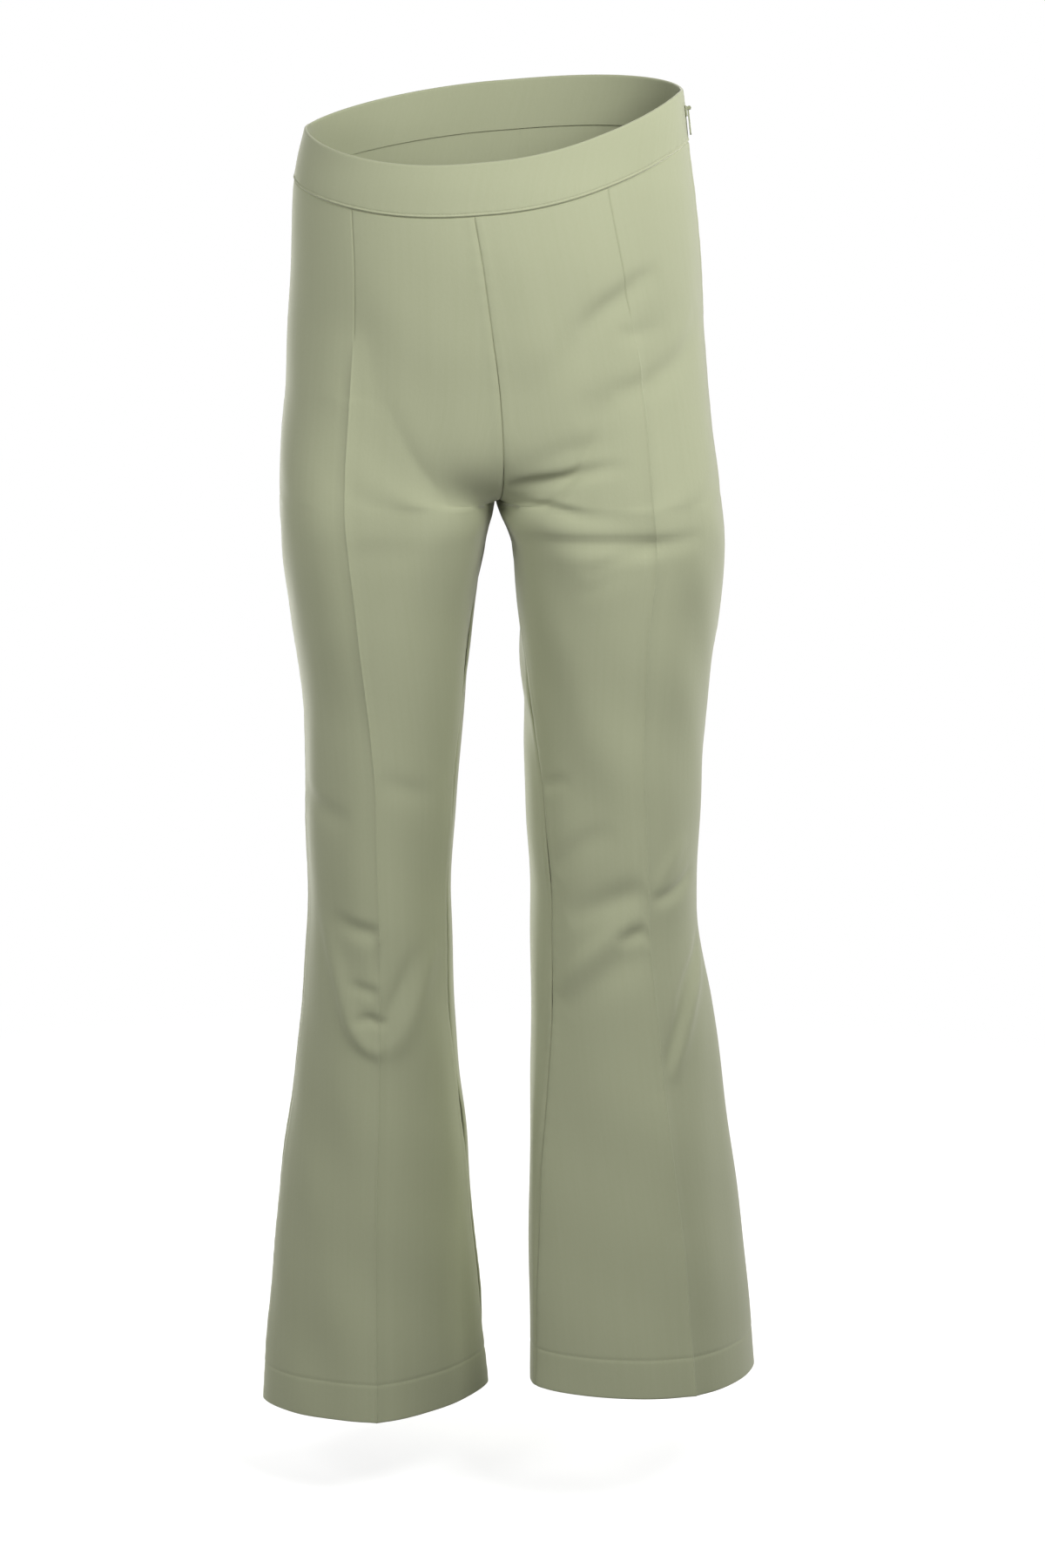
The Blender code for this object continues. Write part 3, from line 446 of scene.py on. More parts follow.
def worn_surface(side, line, height):
    """Points of the outer face, before creases and folds."""
    line, height = np.broadcast_arrays(np.asarray(line, float), np.asarray(height, float))
    hip_x, hip_y = hip_section(side, line, height)
    leg_x, leg_y = leg_section(side, line, height)
    beside_seam = np.minimum(line, 4.0 - line)
    reach = smooth_step(beside_seam / FORK_REACH)
    top = FORK_TOP + (THIGH_TOP - FORK_TOP) * reach
    foot = CROTCH - FORK_WEB * smooth_step(beside_seam / FORK_WEB_REACH)
    down = np.clip((top - height) / (top - foot), 0.0, 1.0)
    power = np.where(line < 2.0, *FORK_POWERS)
    turned = 1.0 - (1.0 - down ** power) ** (1.0 / power)
    gentle = smooth_step(down ** (THIGH_POWER + (1.0 - THIGH_POWER) * reach))
    beyond = smooth_step(beside_seam / FORK_CORNER)
    share = turned * (1.0 - beyond) + gentle * beyond
    x = hip_x * (1.0 - share) + leg_x * share
    y = hip_y * (1.0 - share) + leg_y * share
    return np.stack([x, y, height], axis=-1)


def surface_normal(side, line, height):
    """Outward direction of the worn surface."""
    beside, above = 0.02, 0.002
    round_step = (worn_surface(side, np.minimum(line + beside, 4.0), height)
                  - worn_surface(side, np.maximum(line - beside, 0.0), height))
    down_step = (worn_surface(side, line, height - above)
                 - worn_surface(side, line, height + above))
    return unit(np.cross(down_step, round_step) * side)


def waist_top(side, line):
    """Height of the waistband's top edge."""
    angle = np.radians(between_lines(WAIST_ANGLES, line))
    dip = FRONT_DIP * np.clip(np.cos(angle), 0, 1) ** FRONT_DIP_POWER
    rise = BACK_RISE * np.clip(-np.cos(angle), 0, 1) ** BACK_RISE_POWER
    across = side * WAIST_HALF_BREADTH * np.sin(angle)
    return WAIST_SIDE_TOP + across * math.tan(WAIST_ROLL) - dip + rise


def hem_height(side, line):
    """Smooth round the leg: the first and last of the five values are the same seam."""
    heights = HEM_LINES[side]
    height = heights[0]
    for number in range(4):
        step = heights[number + 1] - heights[number]
        height = height + step * smooth_step(line - number)
    return height


def run_along(points):
    """Length from the first column of a grid of points to each other one."""
    steps = np.linalg.norm(np.diff(points, axis=1), axis=-1)
    return np.concatenate([np.zeros((len(points), 1)), np.cumsum(steps, axis=1)], axis=1)


# ---------------- the fine grid of one side
def grid_lines():
    step = pinched(COLUMNS, COLUMN_PINCH, "both")[:-1]
    return np.concatenate([step + number for number in range(4)] + [[4.0]])


def row_heights(side, line):
    """Heights of the grid's rows, from the waistband seam to the hem, at each line."""
    top = waist_top(side, line) - BAND_HEIGHT
    hem = hem_height(side, line)
    hem_line = hem + HEM_HEIGHT
    beside_seam = np.minimum(line, 4.0 - line)
    near = 1.0 - smooth_step((beside_seam - FORK_ROWS[0]) / FORK_ROWS[1])
    rows = [top + (FORK_TOP - top) * t for t in pinched(HIP_STEPS, ROW_PINCH, "start")[:-1]]
    for t in np.linspace(0.0, 1.0, FORK_STEPS + 1)[:-1]:
        down = math.sqrt(1.0 - (1.0 - t) ** 2) * near + t * (1.0 - near)
        rows.append(FORK_TOP + (CROTCH - FORK_TOP) * down)
    for t in 1.0 - pinched(LEG_STEPS, LEG_PINCH, "start")[:0:-1]:
        rows.append(CROTCH + (hem_line - CROTCH) * t)
    for t in pinched(HEM_STEPS, ROW_PINCH, "both"):
        rows.append(hem_line + (hem - hem_line) * t)
    return np.array(rows)


CROTCH_ROW = HIP_STEPS + FORK_STEPS
HEM_ROW = CROTCH_ROW + LEG_STEPS


def grid_normals(side, points, other):
    """Outward normals, the same on both sides of every seam."""
    before = np.empty_like(points)
    after = np.empty_like(points)
    before[:, 1:] = points[:, :-1]
    after[:, :-1] = points[:, 1:]
    before[: CROTCH_ROW + 1, 0] = other[: CROTCH_ROW + 1, 1]
    after[: CROTCH_ROW + 1, -1] = other[: CROTCH_ROW + 1, -2]
    before[CROTCH_ROW + 1:, 0] = points[CROTCH_ROW + 1:, -2]
    after[CROTCH_ROW + 1:, -1] = points[CROTCH_ROW + 1:, 1]
    round_step = after - before
    down_step = np.gradient(points, axis=0)
    normals = np.cross(down_step, round_step) * side
    normals[:CROTCH_ROW, 0, 0] = 0.0
    normals[:CROTCH_ROW, -1, 0] = 0.0
    normals = unit(normals)
    across, ahead, up = FORK_NORMAL
    normals[CROTCH_ROW, 0] = normals[CROTCH_ROW, -1] = (side * across, ahead, up)
    return normals


def fold_path(fold):
    """Points along a fold's middle line, on the worn surface."""
    places = np.array(fold.path)
    ends = np.concatenate([2 * places[:1] - places[1:2], places,
                           2 * places[-1:] - places[-2:-1]])
    t = np.linspace(0.0, len(places) - 1.0, FOLD_STEPS + 1)
    part = np.minimum(t.astype(int), len(places) - 2)
    s = (t - part)[:, None]
    a, b, c, d = (ends[part + k] for k in range(4))
    path = b + 0.5 * s * (c - a + s * (2 * a - 5 * b + 4 * c - d + s * (3 * (b - c) + d - a)))
    return worn_surface(fold.side, path[:, 0], path[:, 1] - FOLD_MIDDLE * fold.above)


def fold_relief(side, points, normals):
    """How far the folds move each surface point out, in metres."""
    relief = np.zeros(points.shape[:-1])
    for fold in FOLDS:
        if fold.side != side:
            continue
        path = fold_path(fold)
        reach = FOLD_REACH * max(fold.above, fold.under)
        low = path.min(axis=0) - reach
        high = path.max(axis=0) + reach
        near = np.all((points > low) & (points < high), axis=-1)
        here = points[near]
        starts = path[:-1]
        steps = path[1:] - starts
        offset = here[:, None, :] - starts
        part = np.sum(offset * steps, axis=-1) / np.sum(steps * steps, axis=-1)
        part = np.clip(part, 0.0, 1.0)
        away = offset - part[..., None] * steps
        gap = np.linalg.norm(away, axis=-1)
        nearest = np.argmin(gap, axis=-1)
        pick = np.arange(len(here)), nearest
        upward = np.cross(normals[near], steps[nearest])
        upward *= np.sign(upward[:, 2:3] + upward[:, :1] * 0.1 + 1e-12)
        over = np.sum(away[pick] * upward, axis=-1) > 0.0
        width = np.where(over, fold.above, fold.under)
        along = np.clip((nearest + part[pick]) / FOLD_STEPS, 0.0, 1.0)
        taper = np.sin(np.pi * along) ** FOLD_TAPER
        wide = gap[pick] / width
        profile = ((1.0 + FOLD_SHOULDER) * bell(wide, 1.0)
                   - FOLD_SHOULDER * bell(wide, FOLD_SHOULDER_WIDTH))
        relief[near] += fold.depth * taper * profile
    return relief


def ripple_relief(side, around, points):
    """Shallow, slow waves that keep hanging cloth from being even."""
    relief = np.zeros(points.shape[:-1])
    for wave in RIPPLES:
        turn = 2 * np.pi * (around / wave.round + side * points[..., 2] / wave.down)
        relief += wave.height * np.sin(turn + wave.phase + side)
    down = waist_top(side, 2.0) - points[..., 2]
    return relief * smooth_step((down - RIPPLE_START) / RIPPLE_FADE)


def make_side(side, plain):
    """Outer and inner face, cloth coordinates and painted seam shade of one side's grid."""
    line = grid_lines()
    heights = row_heights(side, line)
    lines = np.broadcast_to(line, heights.shape)
    points = plain[side]
    normals = grid_normals(side, points, plain[-side])

    around = run_along(points)
    columns = [number * COLUMNS for number in range(5)]
    from_line = [np.abs(around - around[:, c:c + 1]) for c in columns]
    edge_gap = np.minimum(np.minimum(from_line[0], from_line[2]), from_line[4])
    crease_gap = np.minimum(from_line[1], from_line[3])
    top = waist_top(side, lines) - BAND_HEIGHT
    down = top - heights
    over_hem = heights - hem_height(side, lines)

    soft = fold_relief(side, points, normals) + ripple_relief(side, around, points)
    crease = CREASE_HEIGHT * np.clip(1.0 - crease_gap / CREASE_WIDTH, 0, 1) ** CREASE_POWER
    crease += CREASE_EDGE * bell(crease_gap, CREASE_EDGE_WIDTH)
    soft += crease * smooth_step((down - DART_LENGTH * CREASE_START) / CREASE_FADE)

    fine = -SEAM_DEPTH * np.maximum(bell(edge_gap, SEAM_WIDTH), bell(down, SEAM_WIDTH))
    fine += SEAM_SWELL * bell(edge_gap - SEAM_SWELL_AT, SEAM_SWELL_WIDTH)
    pucker = uneven_wave(heights, PUCKER_LENGTH, *PUCKER_DRIFT)
    fine += PUCKER_HEIGHT * pucker * bell(edge_gap, PUCKER_REACH)
    dart = bell(crease_gap, DART_WIDTH) * smooth_step((DART_LENGTH - down) / DART_FADE)
    fine -= DART_DEPTH * dart
    fine -= HEM_LINE_DEPTH * bell(over_hem - HEM_HEIGHT, HEM_LINE_WIDTH)
    if side > 0:
        zipped = smooth_step((ZIP_LENGTH - BAND_HEIGHT - down) / ZIP_LIP_FADE)
        fine += ZIP_LIP_HEIGHT * zipped * bell(from_line[2] - ZIP_LIP_AT, ZIP_LIP_WIDTH)
        fine -= SEAM_DEPTH * ZIP_SEAM * zipped * bell(from_line[2], SEAM_WIDTH)

    hemmed = smooth_step((HEM_HEIGHT + HEM_STEP - over_hem) / HEM_STEP)
    wall = CLOTH + (HEM_CLOTH - CLOTH) * hemmed
    fold_in = rounded_edge(over_hem, HEM_CLOTH / 2)
    outer = points + normals * (soft + fine - fold_in)[..., None]
    inner = points + normals * (soft - wall + fold_in)[..., None]

    grain_down = np.concatenate([[0.0], np.cumsum(
        np.linalg.norm(np.diff(points[:, COLUMNS], axis=0), axis=-1))])
    cloth = np.empty(points.shape[:-1] + (2,))
    for half, crease_column in ((slice(0, 2 * COLUMNS + 1), COLUMNS),
                                (slice(2 * COLUMNS, None), 3 * COLUMNS)):
        cloth[:, half, 0] = around[:, half] - around[:, crease_column:crease_column + 1]
    cloth[..., 1] = -grain_down[:, None]
    # painted shade: the colour darkens near seams, the waistband seam and darts, where shade
    # falls in their valleys
    shade = np.maximum(bell(edge_gap, SEAM_SHADE_WIDTH), bell(down, WAIST_SHADE_WIDTH))
    shade = np.maximum(shade, DART_SHADE * dart)
    return outer, inner, cloth, shade


# ---------------- meshes
def shell_mesh(name, outer, inner, cloth, shade, flip):
    """Closed thin shell between two grids of the same size."""
    rows, columns = outer.shape[:2]
    count = rows * columns
    index = np.arange(count).reshape(rows, columns)
    a, b = index[:-1, :-1].ravel(), index[:-1, 1:].ravel()
    c, d = index[1:, 1:].ravel(), index[1:, :-1].ravel()
    ring = np.concatenate([index[0, :-1], index[:-1, -1], index[-1, :0:-1], index[:0:-1, 0]])
    ahead = np.roll(ring, -1)
    faces = np.concatenate([
        np.stack([a, d, c, b], axis=-1),
        np.stack([a, b, c, d], axis=-1) + count,
        np.stack([ring, ahead, ahead + count, ring + count], axis=-1),
    ])
    if flip:
        faces = faces[:, ::-1]
    mesh = bpy.data.meshes.new(name)
    corners = np.concatenate([outer.reshape(-1, 3), inner.reshape(-1, 3)])
    mesh.from_pydata(corners.tolist(), [], faces.tolist())
    place = np.concatenate([cloth.reshape(-1, 2)] * 2)[faces.ravel()]
    mesh.uv_layers.new(name="cloth").data.foreach_set("uv", place.ravel())
    # painted shade near the seams on the outer face, none on the inner face
    dark = mesh.attributes.new("seam_shade", "FLOAT", "POINT")
    dark.data.foreach_set("value", np.concatenate([shade.ravel(), 0.0 * shade.ravel()]))
    mesh.shade_smooth()
    return mesh


def new_object(name, data):
    made = bpy.data.objects.new(name, data)
    bpy.context.scene.collection.objects.link(made)
    return made


def new_piece(name, mesh, material):
    piece = new_object(name, mesh)
    mesh.materials.append(material)
    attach(piece, "garment")
    return piece


# ---------------- pieces
PANEL_CUT = {
    # flat width and length of the cut panel, and its area, in metres and square metres
    "front": (0.300, 1.120, 0.262),
    "back": (0.345, 1.145, 0.300),
}


def make_leg_panels(material):
    line = grid_lines()
    plain = {side: worn_surface(side, line, row_heights(side, line)) for side in (-1, 1)}
    for column in (0, -1):      # the two sides meet at the centre seams
        both = sum(plain[side][:CROTCH_ROW + 1, column] for side in (-1, 1)) / 2
        for side in (-1, 1):
            plain[side][:CROTCH_ROW + 1, column] = both
    hem_rows = {}
    for side, name in ((-1, "right"), (1, "left")):
        outer, inner, cloth, shade = make_side(side, plain)
        spans = {"front": slice(0, 2 * COLUMNS + 1), "back": slice(2 * COLUMNS, None)}
        for half, span in spans.items():
            mesh = shell_mesh(f"{half}_leg_{name}_cloth", outer[:, span], inner[:, span],
                              cloth[:, span], shade[:, span], flip=side < 0)
            piece = new_piece(f"{half}_leg_{name}_cloth", mesh, material)
            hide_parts(f"{half}_leg_{name}")
            width, length, area = PANEL_CUT[half]
        hem_rows[side] = outer[HEM_ROW - 1:HEM_ROW + 2]
    return hem_rows


def band_profile():
    """Steps down the band, closer together at its top edge, stitching and seam."""
    upper = pinched(BAND_STEPS // 2, ROW_PINCH, "both") * (BAND_HEIGHT - 2 * STITCH_LINE)
    lower = np.linspace(0.0, 1.0, BAND_STEPS // 2 + 1)[1:] * 2 * STITCH_LINE
    return np.concatenate([upper, upper[-1] + lower])


def make_waistband(material):
    across = np.concatenate([-1.0 + pinched(BAND_COLUMNS, ROW_PINCH, "start")[:-1],
                             1.0 - pinched(BAND_COLUMNS, ROW_PINCH, "start")[::-1]])
    for half in ("front", "back"):
        line = 2.0 * np.abs(across) if half == "front" else 4.0 - 2.0 * np.abs(across)
        drop = band_profile()
        points = np.empty((len(drop), len(across), 3))
        normals = np.empty_like(points)
        for one in (-1, 1):
            chosen = across < 0 if one < 0 else across >= 0
            height = waist_top(one, line[chosen]) - drop[:, None]
            lines = np.broadcast_to(line[chosen], height.shape)
            points[:, chosen] = worn_surface(one, lines, height)
            normals[:, chosen] = surface_normal(one, lines, height)
        around = run_along(points)
        edge_gap = np.minimum(around, around[:, -1:] - around)
        up = (BAND_HEIGHT - drop)[:, None]
        wave = uneven_wave(around, BAND_WAVE, *BAND_WAVE_DRIFT)
        out = BAND_PROUD + np.zeros_like(edge_gap)
        out -= (SEAM_DEPTH + BAND_PROUD) * bell(up, SEAM_WIDTH)
        out -= SEAM_DEPTH * bell(edge_gap, SEAM_WIDTH)
        out += ROLL_HEIGHT * bell(up - ROLL_AT, ROLL_WIDTH)
        out -= STITCH_GROOVE * bell(up - STITCH_LINE, STITCH_GROOVE_WIDTH)
        out += PUCKER_HEIGHT * wave * bell(up - STITCH_LINE, BAND_WAVE_REACH)
        bulge = np.sin(around * BAND_BULGE_TURN + 1.0) * np.sin(np.pi * up / BAND_HEIGHT)
        out += BAND_BULGE * bulge
        fold_in = rounded_edge(drop, BAND_CLOTH / 2)[:, None]
        outer = points + normals * (out - fold_in)[..., None]
        inner = points - normals * (BAND_CLOTH - BAND_PROUD - fold_in)[..., None]
        cloth = np.stack([around, np.broadcast_to(-drop[:, None], around.shape)], axis=-1)
        # painted shade near the band's end seams and its lower seam
        shade = np.maximum(bell(edge_gap, SEAM_SHADE_WIDTH), bell(up, BAND_SHADE_WIDTH))
        mesh = shell_mesh(f"waistband_{half}_cloth", outer, inner, cloth, shade,
                          flip=half == "back")
        piece = new_piece(f"waistband_{half}_cloth", mesh, material)
        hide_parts(f"waistband_{half}")
        row = int(np.argmin(np.abs(up[:, 0] - STITCH_LINE)))
        yield half, outer[row], normals[row]


def tube_mesh(name, rings):
    """Closed tubes, from an array of tubes x rings x sides x 3."""
    index = np.arange(rings.size // 3).reshape(rings.shape[:3])
    follow = np.roll(index, -1, axis=2)
    quads = np.stack([index[:, :-1], follow[:, :-1], follow[:, 1:], index[:, 1:]], axis=-1)
    faces = quads.reshape(-1, 4).tolist()
    faces += index[:, 0, ::-1].tolist() + index[:, -1].tolist()
    mesh = bpy.data.meshes.new(name)
    mesh.from_pydata(rings.reshape(-1, 3).tolist(), [], faces)
    mesh.shade_smooth()
    return mesh


# Five rings along a thread: their place in its half length, their share of its radius,
# and how many radii they lie over the cloth.
STITCH_ALONG = np.array([-1.0, -0.8, 0.0, 0.8, 1.0])
STITCH_GIRTH = np.array([0.35, 0.85, 1.0, 0.85, 0.35])
STITCH_OVER = np.array([-1.5, -0.4, 0.35, -0.4, -1.5])
STITCH_SIDES = 6


def stitch_mesh(name, places, ahead, out, length, radius):
    """Short threads, each dipping into the cloth at both ends."""
    turn = 2 * np.pi * np.arange(STITCH_SIDES) / STITCH_SIDES
    beside = np.cross(ahead, out)
    rings = (places[:, None, None]
             + ahead[:, None, None] * (STITCH_ALONG * length / 2)[:, None, None]
             + out[:, None, None] * (STITCH_OVER * radius)[:, None, None]
             + radius * STITCH_GIRTH[:, None, None]
             * (beside[:, None, None] * np.cos(turn)[:, None]
                + out[:, None, None] * np.sin(turn)[:, None]))
    return tube_mesh(name, rings)


def spaced(path, normals, pitch):
    """Places, forward directions and outward directions at an even pitch along a path."""
    steps = np.linalg.norm(np.diff(path, axis=0), axis=-1)
    run = np.concatenate([[0.0], np.cumsum(steps)])
    at = np.arange(pitch, run[-1] - pitch / 2, pitch)
    places = np.stack([np.interp(at, run, path[:, k]) for k in range(3)], axis=-1)
    out = np.stack([np.interp(at, run, normals[:, k]) for k in range(3)], axis=-1)
    ahead = np.stack([np.interp(at + 0.0005, run, path[:, k]) for k in range(3)], axis=-1)
    ahead = unit(ahead - places)
    out -= np.sum(out * ahead, axis=-1, keepdims=True) * ahead
    return places, ahead, unit(out)


def make_band_stitches(half, path, normals, thread):
    places, ahead, out = spaced(path, normals, STITCH_PITCH)
    mesh = stitch_mesh(f"waistband_{half}_stitches", places + out * STITCH_LIFT, ahead, out,
                       STITCH_LENGTH, STITCH_RADIUS)
    new_piece(f"waistband_{half}_stitches", mesh, thread)


def make_hem_stitches(hem_rows, thread):
    for side, name in ((-1, "right"), (1, "left")):
        above, path, under = hem_rows[side]
        down = under - above
        along = np.gradient(path, axis=0)
        normals = unit(np.cross(down, along) * side)
        places, ahead, out = spaced(path, normals, CATCH_PITCH)
        mesh = stitch_mesh(f"hem_{name}_stitches", places, ahead, out,
                           CATCH_LENGTH, CATCH_RADIUS)
        new_piece(f"hem_{name}_stitches", mesh, thread)


def make_zip_tapes(material):
    top = waist_top(1, 2.0) - TAPE_DROP
    for name, low, high in (("front", 2.0 - TAPE_REACH, 2.0 - TAPE_GAP),
                            ("back", 2.0 + TAPE_GAP, 2.0 + TAPE_REACH)):
        line, height = np.meshgrid(np.linspace(low, high, TAPE_COLUMNS + 1),
                                   np.linspace(top, top - ZIP_LENGTH, TAPE_ROWS + 1))
        points = worn_surface(1, line, height)
        normals = surface_normal(1, line, height)
        cloth = np.stack([run_along(points), height], axis=-1)
        outer = points - normals * TAPE_UNDER
        mesh = shell_mesh(f"zip_tape_{name}", outer, outer - normals * TAPE_CLOTH, cloth,
                          0.0 * line, flip=False)
        piece = new_piece(f"zip_tape_{name}", mesh, material)
        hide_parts("zip_tape")


def make_zip_coils(material):
    """One flattened spiral of wire on the inner face of each tape."""
    turns = (ZIP_LENGTH - 2 * TAPE_DROP) / COIL_PITCH
    t = np.linspace(0.0, turns, int(turns * COIL_STEPS) + 1)
    height = waist_top(1, 2.0) - 2 * TAPE_DROP - t * COIL_PITCH
    middle = worn_surface(1, 2.0, height)
    out = surface_normal(1, np.full_like(height, 2.0), height)
    ahead = unit(np.gradient(middle, axis=0))
    beside = np.cross(ahead, out)
    under = TAPE_UNDER + TAPE_CLOTH + COIL_HALF_DEPTH + COIL_RADIUS
    around = 2 * np.pi * np.arange(COIL_SIDES) / COIL_SIDES
    for name, way in (("front", -1.0), ("back", 1.0)):
        turn = 2 * np.pi * t + (0.0 if way < 0 else np.pi)
        wire = (middle - out * (under - COIL_HALF_DEPTH * np.sin(turn))[:, None]
                + beside * (way * COIL_BESIDE
                            + COIL_HALF_WIDTH * np.cos(turn))[:, None])
        along = unit(np.gradient(wire, axis=0))
        first = unit(np.cross(along, ahead))
        second = np.cross(along, first)
        rings = wire[:, None] + COIL_RADIUS * (first[:, None] * np.cos(around)[:, None]
                                               + second[:, None] * np.sin(around)[:, None])
        mesh = tube_mesh(f"zip_coil_{name}", rings[None])
        new_piece(f"zip_coil_{name}", mesh, material)


# ---------------- materials
CREPE_DARK = (0.345, 0.365, 0.232, 1.0)
CREPE_LIGHT = (0.405, 0.425, 0.285, 1.0)
PAINTED_SEAM_SHADE_COLOUR = (0.45, 0.44, 0.36, 1.0)  # the cloth's colour is multiplied by it as painted shade in the seams
SEAM_SHADE = 0.22           # by this much
THREAD_COLOUR = (0.36, 0.38, 0.25, 1.0)
TAPE_DARK = (0.27, 0.29, 0.18, 1.0)
TAPE_LIGHT = (0.37, 0.39, 0.26, 1.0)
TAPE_RIBS = 450.0           # across a metre of the wave texture
ENAMEL_DARK = (0.29, 0.31, 0.19, 1.0)
ENAMEL_LIGHT = (0.36, 0.38, 0.25, 1.0)


def add_node(tree, kind, **settings):
    made = tree.nodes.new(kind)
    for name, value in settings.items():
        setattr(made, name, value)
    return made


def plug(tree, value, socket):
    """Set a socket from a number, a colour or another node's socket."""
    if isinstance(value, bpy.types.NodeSocket):
        tree.links.new(value, socket)
    else:
        socket.default_value = value


def feed(tree, node, **inputs):
    for name, value in inputs.items():
        plug(tree, value, node.inputs[name.replace("_", " ")])
    return node


def math_node(tree, operation, first, second):
    made = add_node(tree, "ShaderNodeMath", operation=operation)
    for socket, value in zip(made.inputs, (first, second)):
        plug(tree, value, socket)
    return made.outputs[0]


def weighted_sum(tree, *parts):
    total = None
    for value, weight in parts:
        part = math_node(tree, "MULTIPLY", value, weight)
        total = part if total is None else math_node(tree, "ADD", total, part)
    return total


def colour_mix(tree, factor, first, second, blend="MIX"):
    made = add_node(tree, "ShaderNodeMix", data_type="RGBA", blend_type=blend)
    feed(tree, made, Factor=factor, A=first, B=second)
    return made.outputs["Result"]


def bumped(tree, height, strength, distance):
    bump = add_node(tree, "ShaderNodeBump")
    return feed(tree, bump, Height=height, Strength=strength, Distance=distance).outputs[0]


def stretched(tree, vector, scale):
    mapping = add_node(tree, "ShaderNodeMapping")
    feed(tree, mapping, Vector=vector, Scale=scale)
    return mapping.outputs[0]


def noise(tree, vector, scale, detail=2.0, roughness=0.5):
    made = add_node(tree, "ShaderNodeTexNoise")
    feed(tree, made, Vector=vector, Scale=scale, Detail=detail, Roughness=roughness)
    return made.outputs["Fac"]


def new_material(name):
    material = bpy.data.materials.new(name)
    material.use_nodes = True
    tree = material.node_tree
    return material, tree, tree.nodes["Principled BSDF"]


def crepe_material():
    material, tree, shader = new_material("sage_crepe")
    cloth = add_node(tree, "ShaderNodeUVMap", uv_map="cloth").outputs[0]
    grain = noise(tree, stretched(tree, cloth, (1500.0, 1100.0, 1.0)), 1.0, 3.0, 0.6)
    pebble = noise(tree, stretched(tree, cloth, (420.0, 300.0, 1.0)), 1.0, 2.0, 0.5)
    streak = noise(tree, stretched(tree, cloth, (260.0, 6.0, 1.0)), 1.0, 2.0, 0.5)
    cloud = noise(tree, stretched(tree, cloth, (14.0, 9.0, 1.0)), 1.0, 3.0, 0.5)
    mix = weighted_sum(tree, (grain, 0.20), (pebble, 0.20), (streak, 0.30), (cloud, 0.30))
    colour = colour_mix(tree, mix, CREPE_DARK, CREPE_LIGHT)
    # painted shade: the cloth's colour is darkened near seams, darts and the waistband seam,
    # where shade falls in their valleys
    seam = add_node(tree, "ShaderNodeAttribute", attribute_name="seam_shade").outputs["Fac"]
    seam = math_node(tree, "MULTIPLY", seam, SEAM_SHADE)
    colour = colour_mix(tree, seam, colour, PAINTED_SEAM_SHADE_COLOUR, "MULTIPLY")
    height = weighted_sum(tree, (grain, 0.6), (pebble, 0.8), (streak, 0.4))
    feed(tree, shader, Base_Color=colour, Normal=bumped(tree, height, 0.35, 0.00025),
         Roughness=0.86, Specular_IOR_Level=0.25, Sheen_Weight=0.60, Sheen_Roughness=0.40,
         Sheen_Tint=(0.97, 0.96, 0.86, 1.0))
    return material


def thread_material():
    material, tree, shader = new_material("sage_thread")
    place = add_node(tree, "ShaderNodeTexCoord").outputs["Object"]
    twist = bumped(tree, noise(tree, place, 4000.0), 0.5, 0.0001)
    feed(tree, shader, Base_Color=THREAD_COLOUR, Roughness=0.7, Normal=twist,
         Sheen_Weight=0.15)
    return material


def tape_material():
    material, tree, shader = new_material("zip_tape")
    cloth = add_node(tree, "ShaderNodeUVMap", uv_map="cloth").outputs[0]
    ribs = add_node(tree, "ShaderNodeTexWave", wave_type="BANDS", bands_direction="X")
    feed(tree, ribs, Vector=cloth, Scale=TAPE_RIBS, Distortion=1.5, Detail=1.0)
    picks = noise(tree, stretched(tree, cloth, (900.0, 3200.0, 1.0)), 1.0)
    weave = weighted_sum(tree, (ribs.outputs["Fac"], 0.6), (picks, 0.4))
    feed(tree, shader, Base_Color=colour_mix(tree, weave, TAPE_DARK, TAPE_LIGHT),
         Normal=bumped(tree, weave, 0.6, 0.0002), Roughness=0.8, Sheen_Weight=0.2)
    return material


def enamel_material():
    """Sprayed enamel: slightly uneven in colour, with a fine orange peel."""
    material, tree, shader = new_material("zip_enamel")
    place = add_node(tree, "ShaderNodeTexCoord").outputs["Object"]
    cloud = noise(tree, place, 160.0, 3.0)
    peel = bumped(tree, noise(tree, place, 2600.0), 0.25, 0.00008)
    rough = math_node(tree, "ADD", 0.30, math_node(tree, "MULTIPLY", cloud, 0.16))
    feed(tree, shader, Base_Color=colour_mix(tree, cloud, ENAMEL_DARK, ENAMEL_LIGHT),
         Normal=peel, Roughness=rough, Coat_Weight=0.25, Coat_Roughness=0.2)
    return material


# ---------------- stage
CAMERA_PLACE = (0.022, -2.85, 0.05)
CAMERA_PITCH = math.radians(11.4)
CAMERA_LENS = 81.5
FLOOR_LEVEL = -1.12
FLOOR_SIZE = 60.0
FLOOR_NEAR = 0.7            # the floor is plain up to here, and melts into the white
FLOOR_FAR = 1.9             # of the room by here
ROOM_WHITE = 1.0            # what the camera sees round the garment
ROOM_LIGHT = 0.10           # how bright the room lights the garment

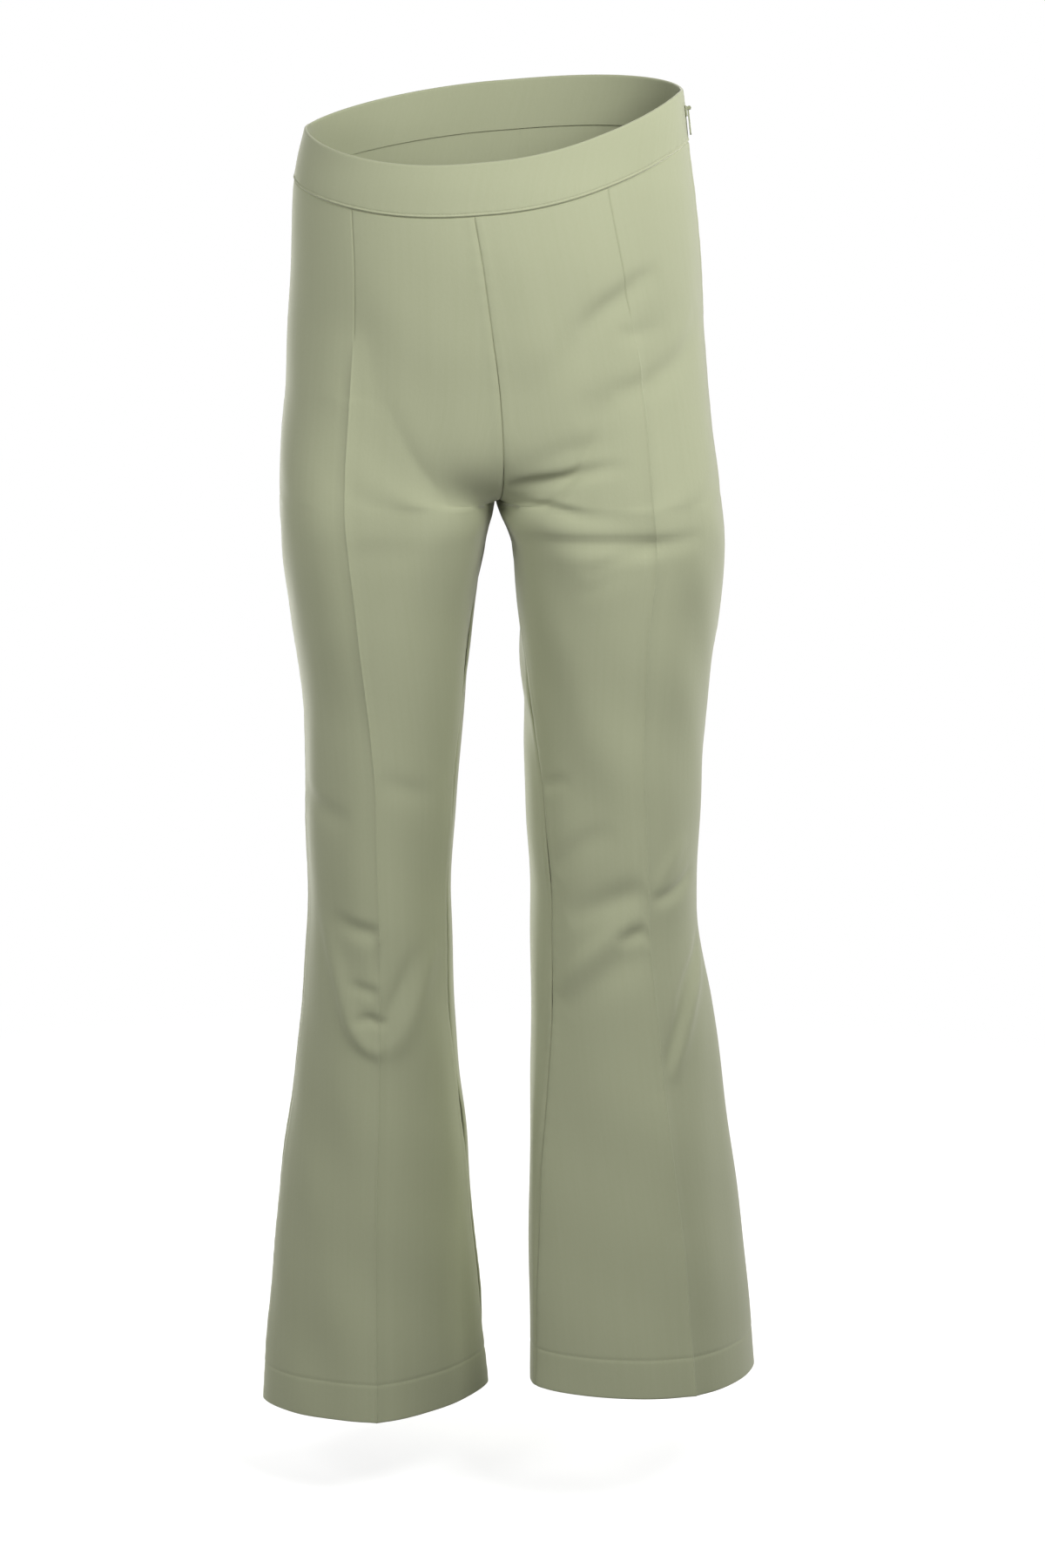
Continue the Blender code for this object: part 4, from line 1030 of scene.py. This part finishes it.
Light = namedtuple("Light", "name place aim size power")
LIGHTS = (
    Light("key", (0.8, -1.0, 0.55), (0.1, 0.0, 0.1), (0.6, 0.6), 19.4),
    Light("side", (1.8, -0.4, 0.5), (0.1, 0.0, -0.1), (1.0, 1.5), 6.8),
    Light("fill", (-1.3, -1.3, 0.7), (0.0, 0.0, 0.0), (0.9, 0.9), 14.4),
    Light("low_fill", (-1.4, -1.6, -0.8), (0.1, 0.0, -0.7), (0.8, 0.8), 10.0),
    Light("low", (0.0, -2.6, -0.6), (0.0, 0.0, -0.5), (1.2, 1.2), 2.0),
    Light("back", (0.0, 2.2, -0.2), (0.0, 0.0, -0.2), (4.5, 2.6), 50.0),
    Light("rim_right_leg", (-1.6, 0.9, -0.5), (-0.1, 0.0, -0.5), (0.6, 1.8), 6.0),
    Light("rim_left_leg", (1.6, 0.9, 0.1), (0.1, 0.0, -0.2), (0.6, 1.8), 15.0),
    Light("rim_low", (-0.9, 1.6, -0.7), (0.05, 0.0, -0.7), (0.7, 0.9), 22.0),
)


def make_camera():
    data = bpy.data.cameras.new("camera")
    data.lens = CAMERA_LENS
    data.sensor_width = 36.0
    camera = new_object("camera", data)
    camera.location = CAMERA_PLACE
    camera.rotation_euler = (math.pi / 2 - CAMERA_PITCH, 0.0, 0.0)
    bpy.context.scene.camera = camera


def make_light(light):
    data = bpy.data.lights.new(light.name, "AREA")
    data.shape = "RECTANGLE"
    data.size, data.size_y = light.size
    data.energy = light.power
    lamp = new_object(light.name, data)
    lamp.location = light.place
    lamp.visible_camera = False
    toward = Vector(light.aim) - Vector(light.place)
    lamp.rotation_euler = toward.to_track_quat("-Z", "Y").to_euler()


def make_floor():
    mesh = bpy.data.meshes.new("floor")
    corners = ((-1, -1), (1, -1), (1, 1), (-1, 1))
    mesh.from_pydata([(x * FLOOR_SIZE, y * FLOOR_SIZE, FLOOR_LEVEL) for x, y in corners],
                     [], [(0, 1, 2, 3)])
    floor = new_object("floor", mesh)
    material, tree, shader = new_material("floor")
    feed(tree, shader, Base_Color=(0.80, 0.80, 0.79, 1.0), Roughness=0.9,
         Emission_Color=(1.0, 1.0, 1.0, 1.0), Emission_Strength=0.42)
    white = add_node(tree, "ShaderNodeEmission")
    feed(tree, white, Strength=ROOM_WHITE)
    place = add_node(tree, "ShaderNodeNewGeometry").outputs["Position"]
    away = add_node(tree, "ShaderNodeVectorMath", operation="LENGTH")
    feed(tree, away, Vector=place)
    fade = add_node(tree, "ShaderNodeMapRange", interpolation_type="SMOOTHSTEP")
    feed(tree, fade, Value=away.outputs["Value"], From_Min=FLOOR_NEAR, From_Max=FLOOR_FAR)
    both = add_node(tree, "ShaderNodeMixShader")
    for socket, node in zip(both.inputs, (fade, shader, white)):
        tree.links.new(node.outputs[0], socket)
    tree.links.new(both.outputs[0], tree.nodes["Material Output"].inputs["Surface"])
    mesh.materials.append(material)
    # The room light stands for what the floor throws back.
    floor.visible_diffuse = False
    floor.visible_glossy = False


def make_world():
    world = bpy.data.worlds.new("studio")
    world.use_nodes = True
    tree = world.node_tree
    path = add_node(tree, "ShaderNodeLightPath")
    strength = add_node(tree, "ShaderNodeMapRange")
    feed(tree, strength, Value=path.outputs["Is Camera Ray"],
         To_Min=ROOM_LIGHT, To_Max=ROOM_WHITE)
    back = tree.nodes["Background"]
    feed(tree, back, Color=(1.0, 1.0, 1.0, 1.0), Strength=strength.outputs[0])
    bpy.context.scene.world = world


def make_stage():
    make_floor()
    make_world()
    for light in LIGHTS:
        make_light(light)
    bpy.context.scene.view_settings.view_transform = "Standard"


def main():
    crepe = crepe_material()
    thread = thread_material()
    hem_rows = make_leg_panels(crepe)
    for half, path, normals in make_waistband(crepe):
        make_band_stitches(half, path, normals, thread)
    make_hem_stitches(hem_rows, thread)
    make_zip_tapes(tape_material())
    enamel = enamel_material()
    make_zip_coils(enamel)
    for name in ("zip_slider", "zip_pull"):
        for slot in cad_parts[name].material_slots:
            slot.material = enamel
    make_camera()
    make_stage()


main()

bpy.context.view_layer.update()
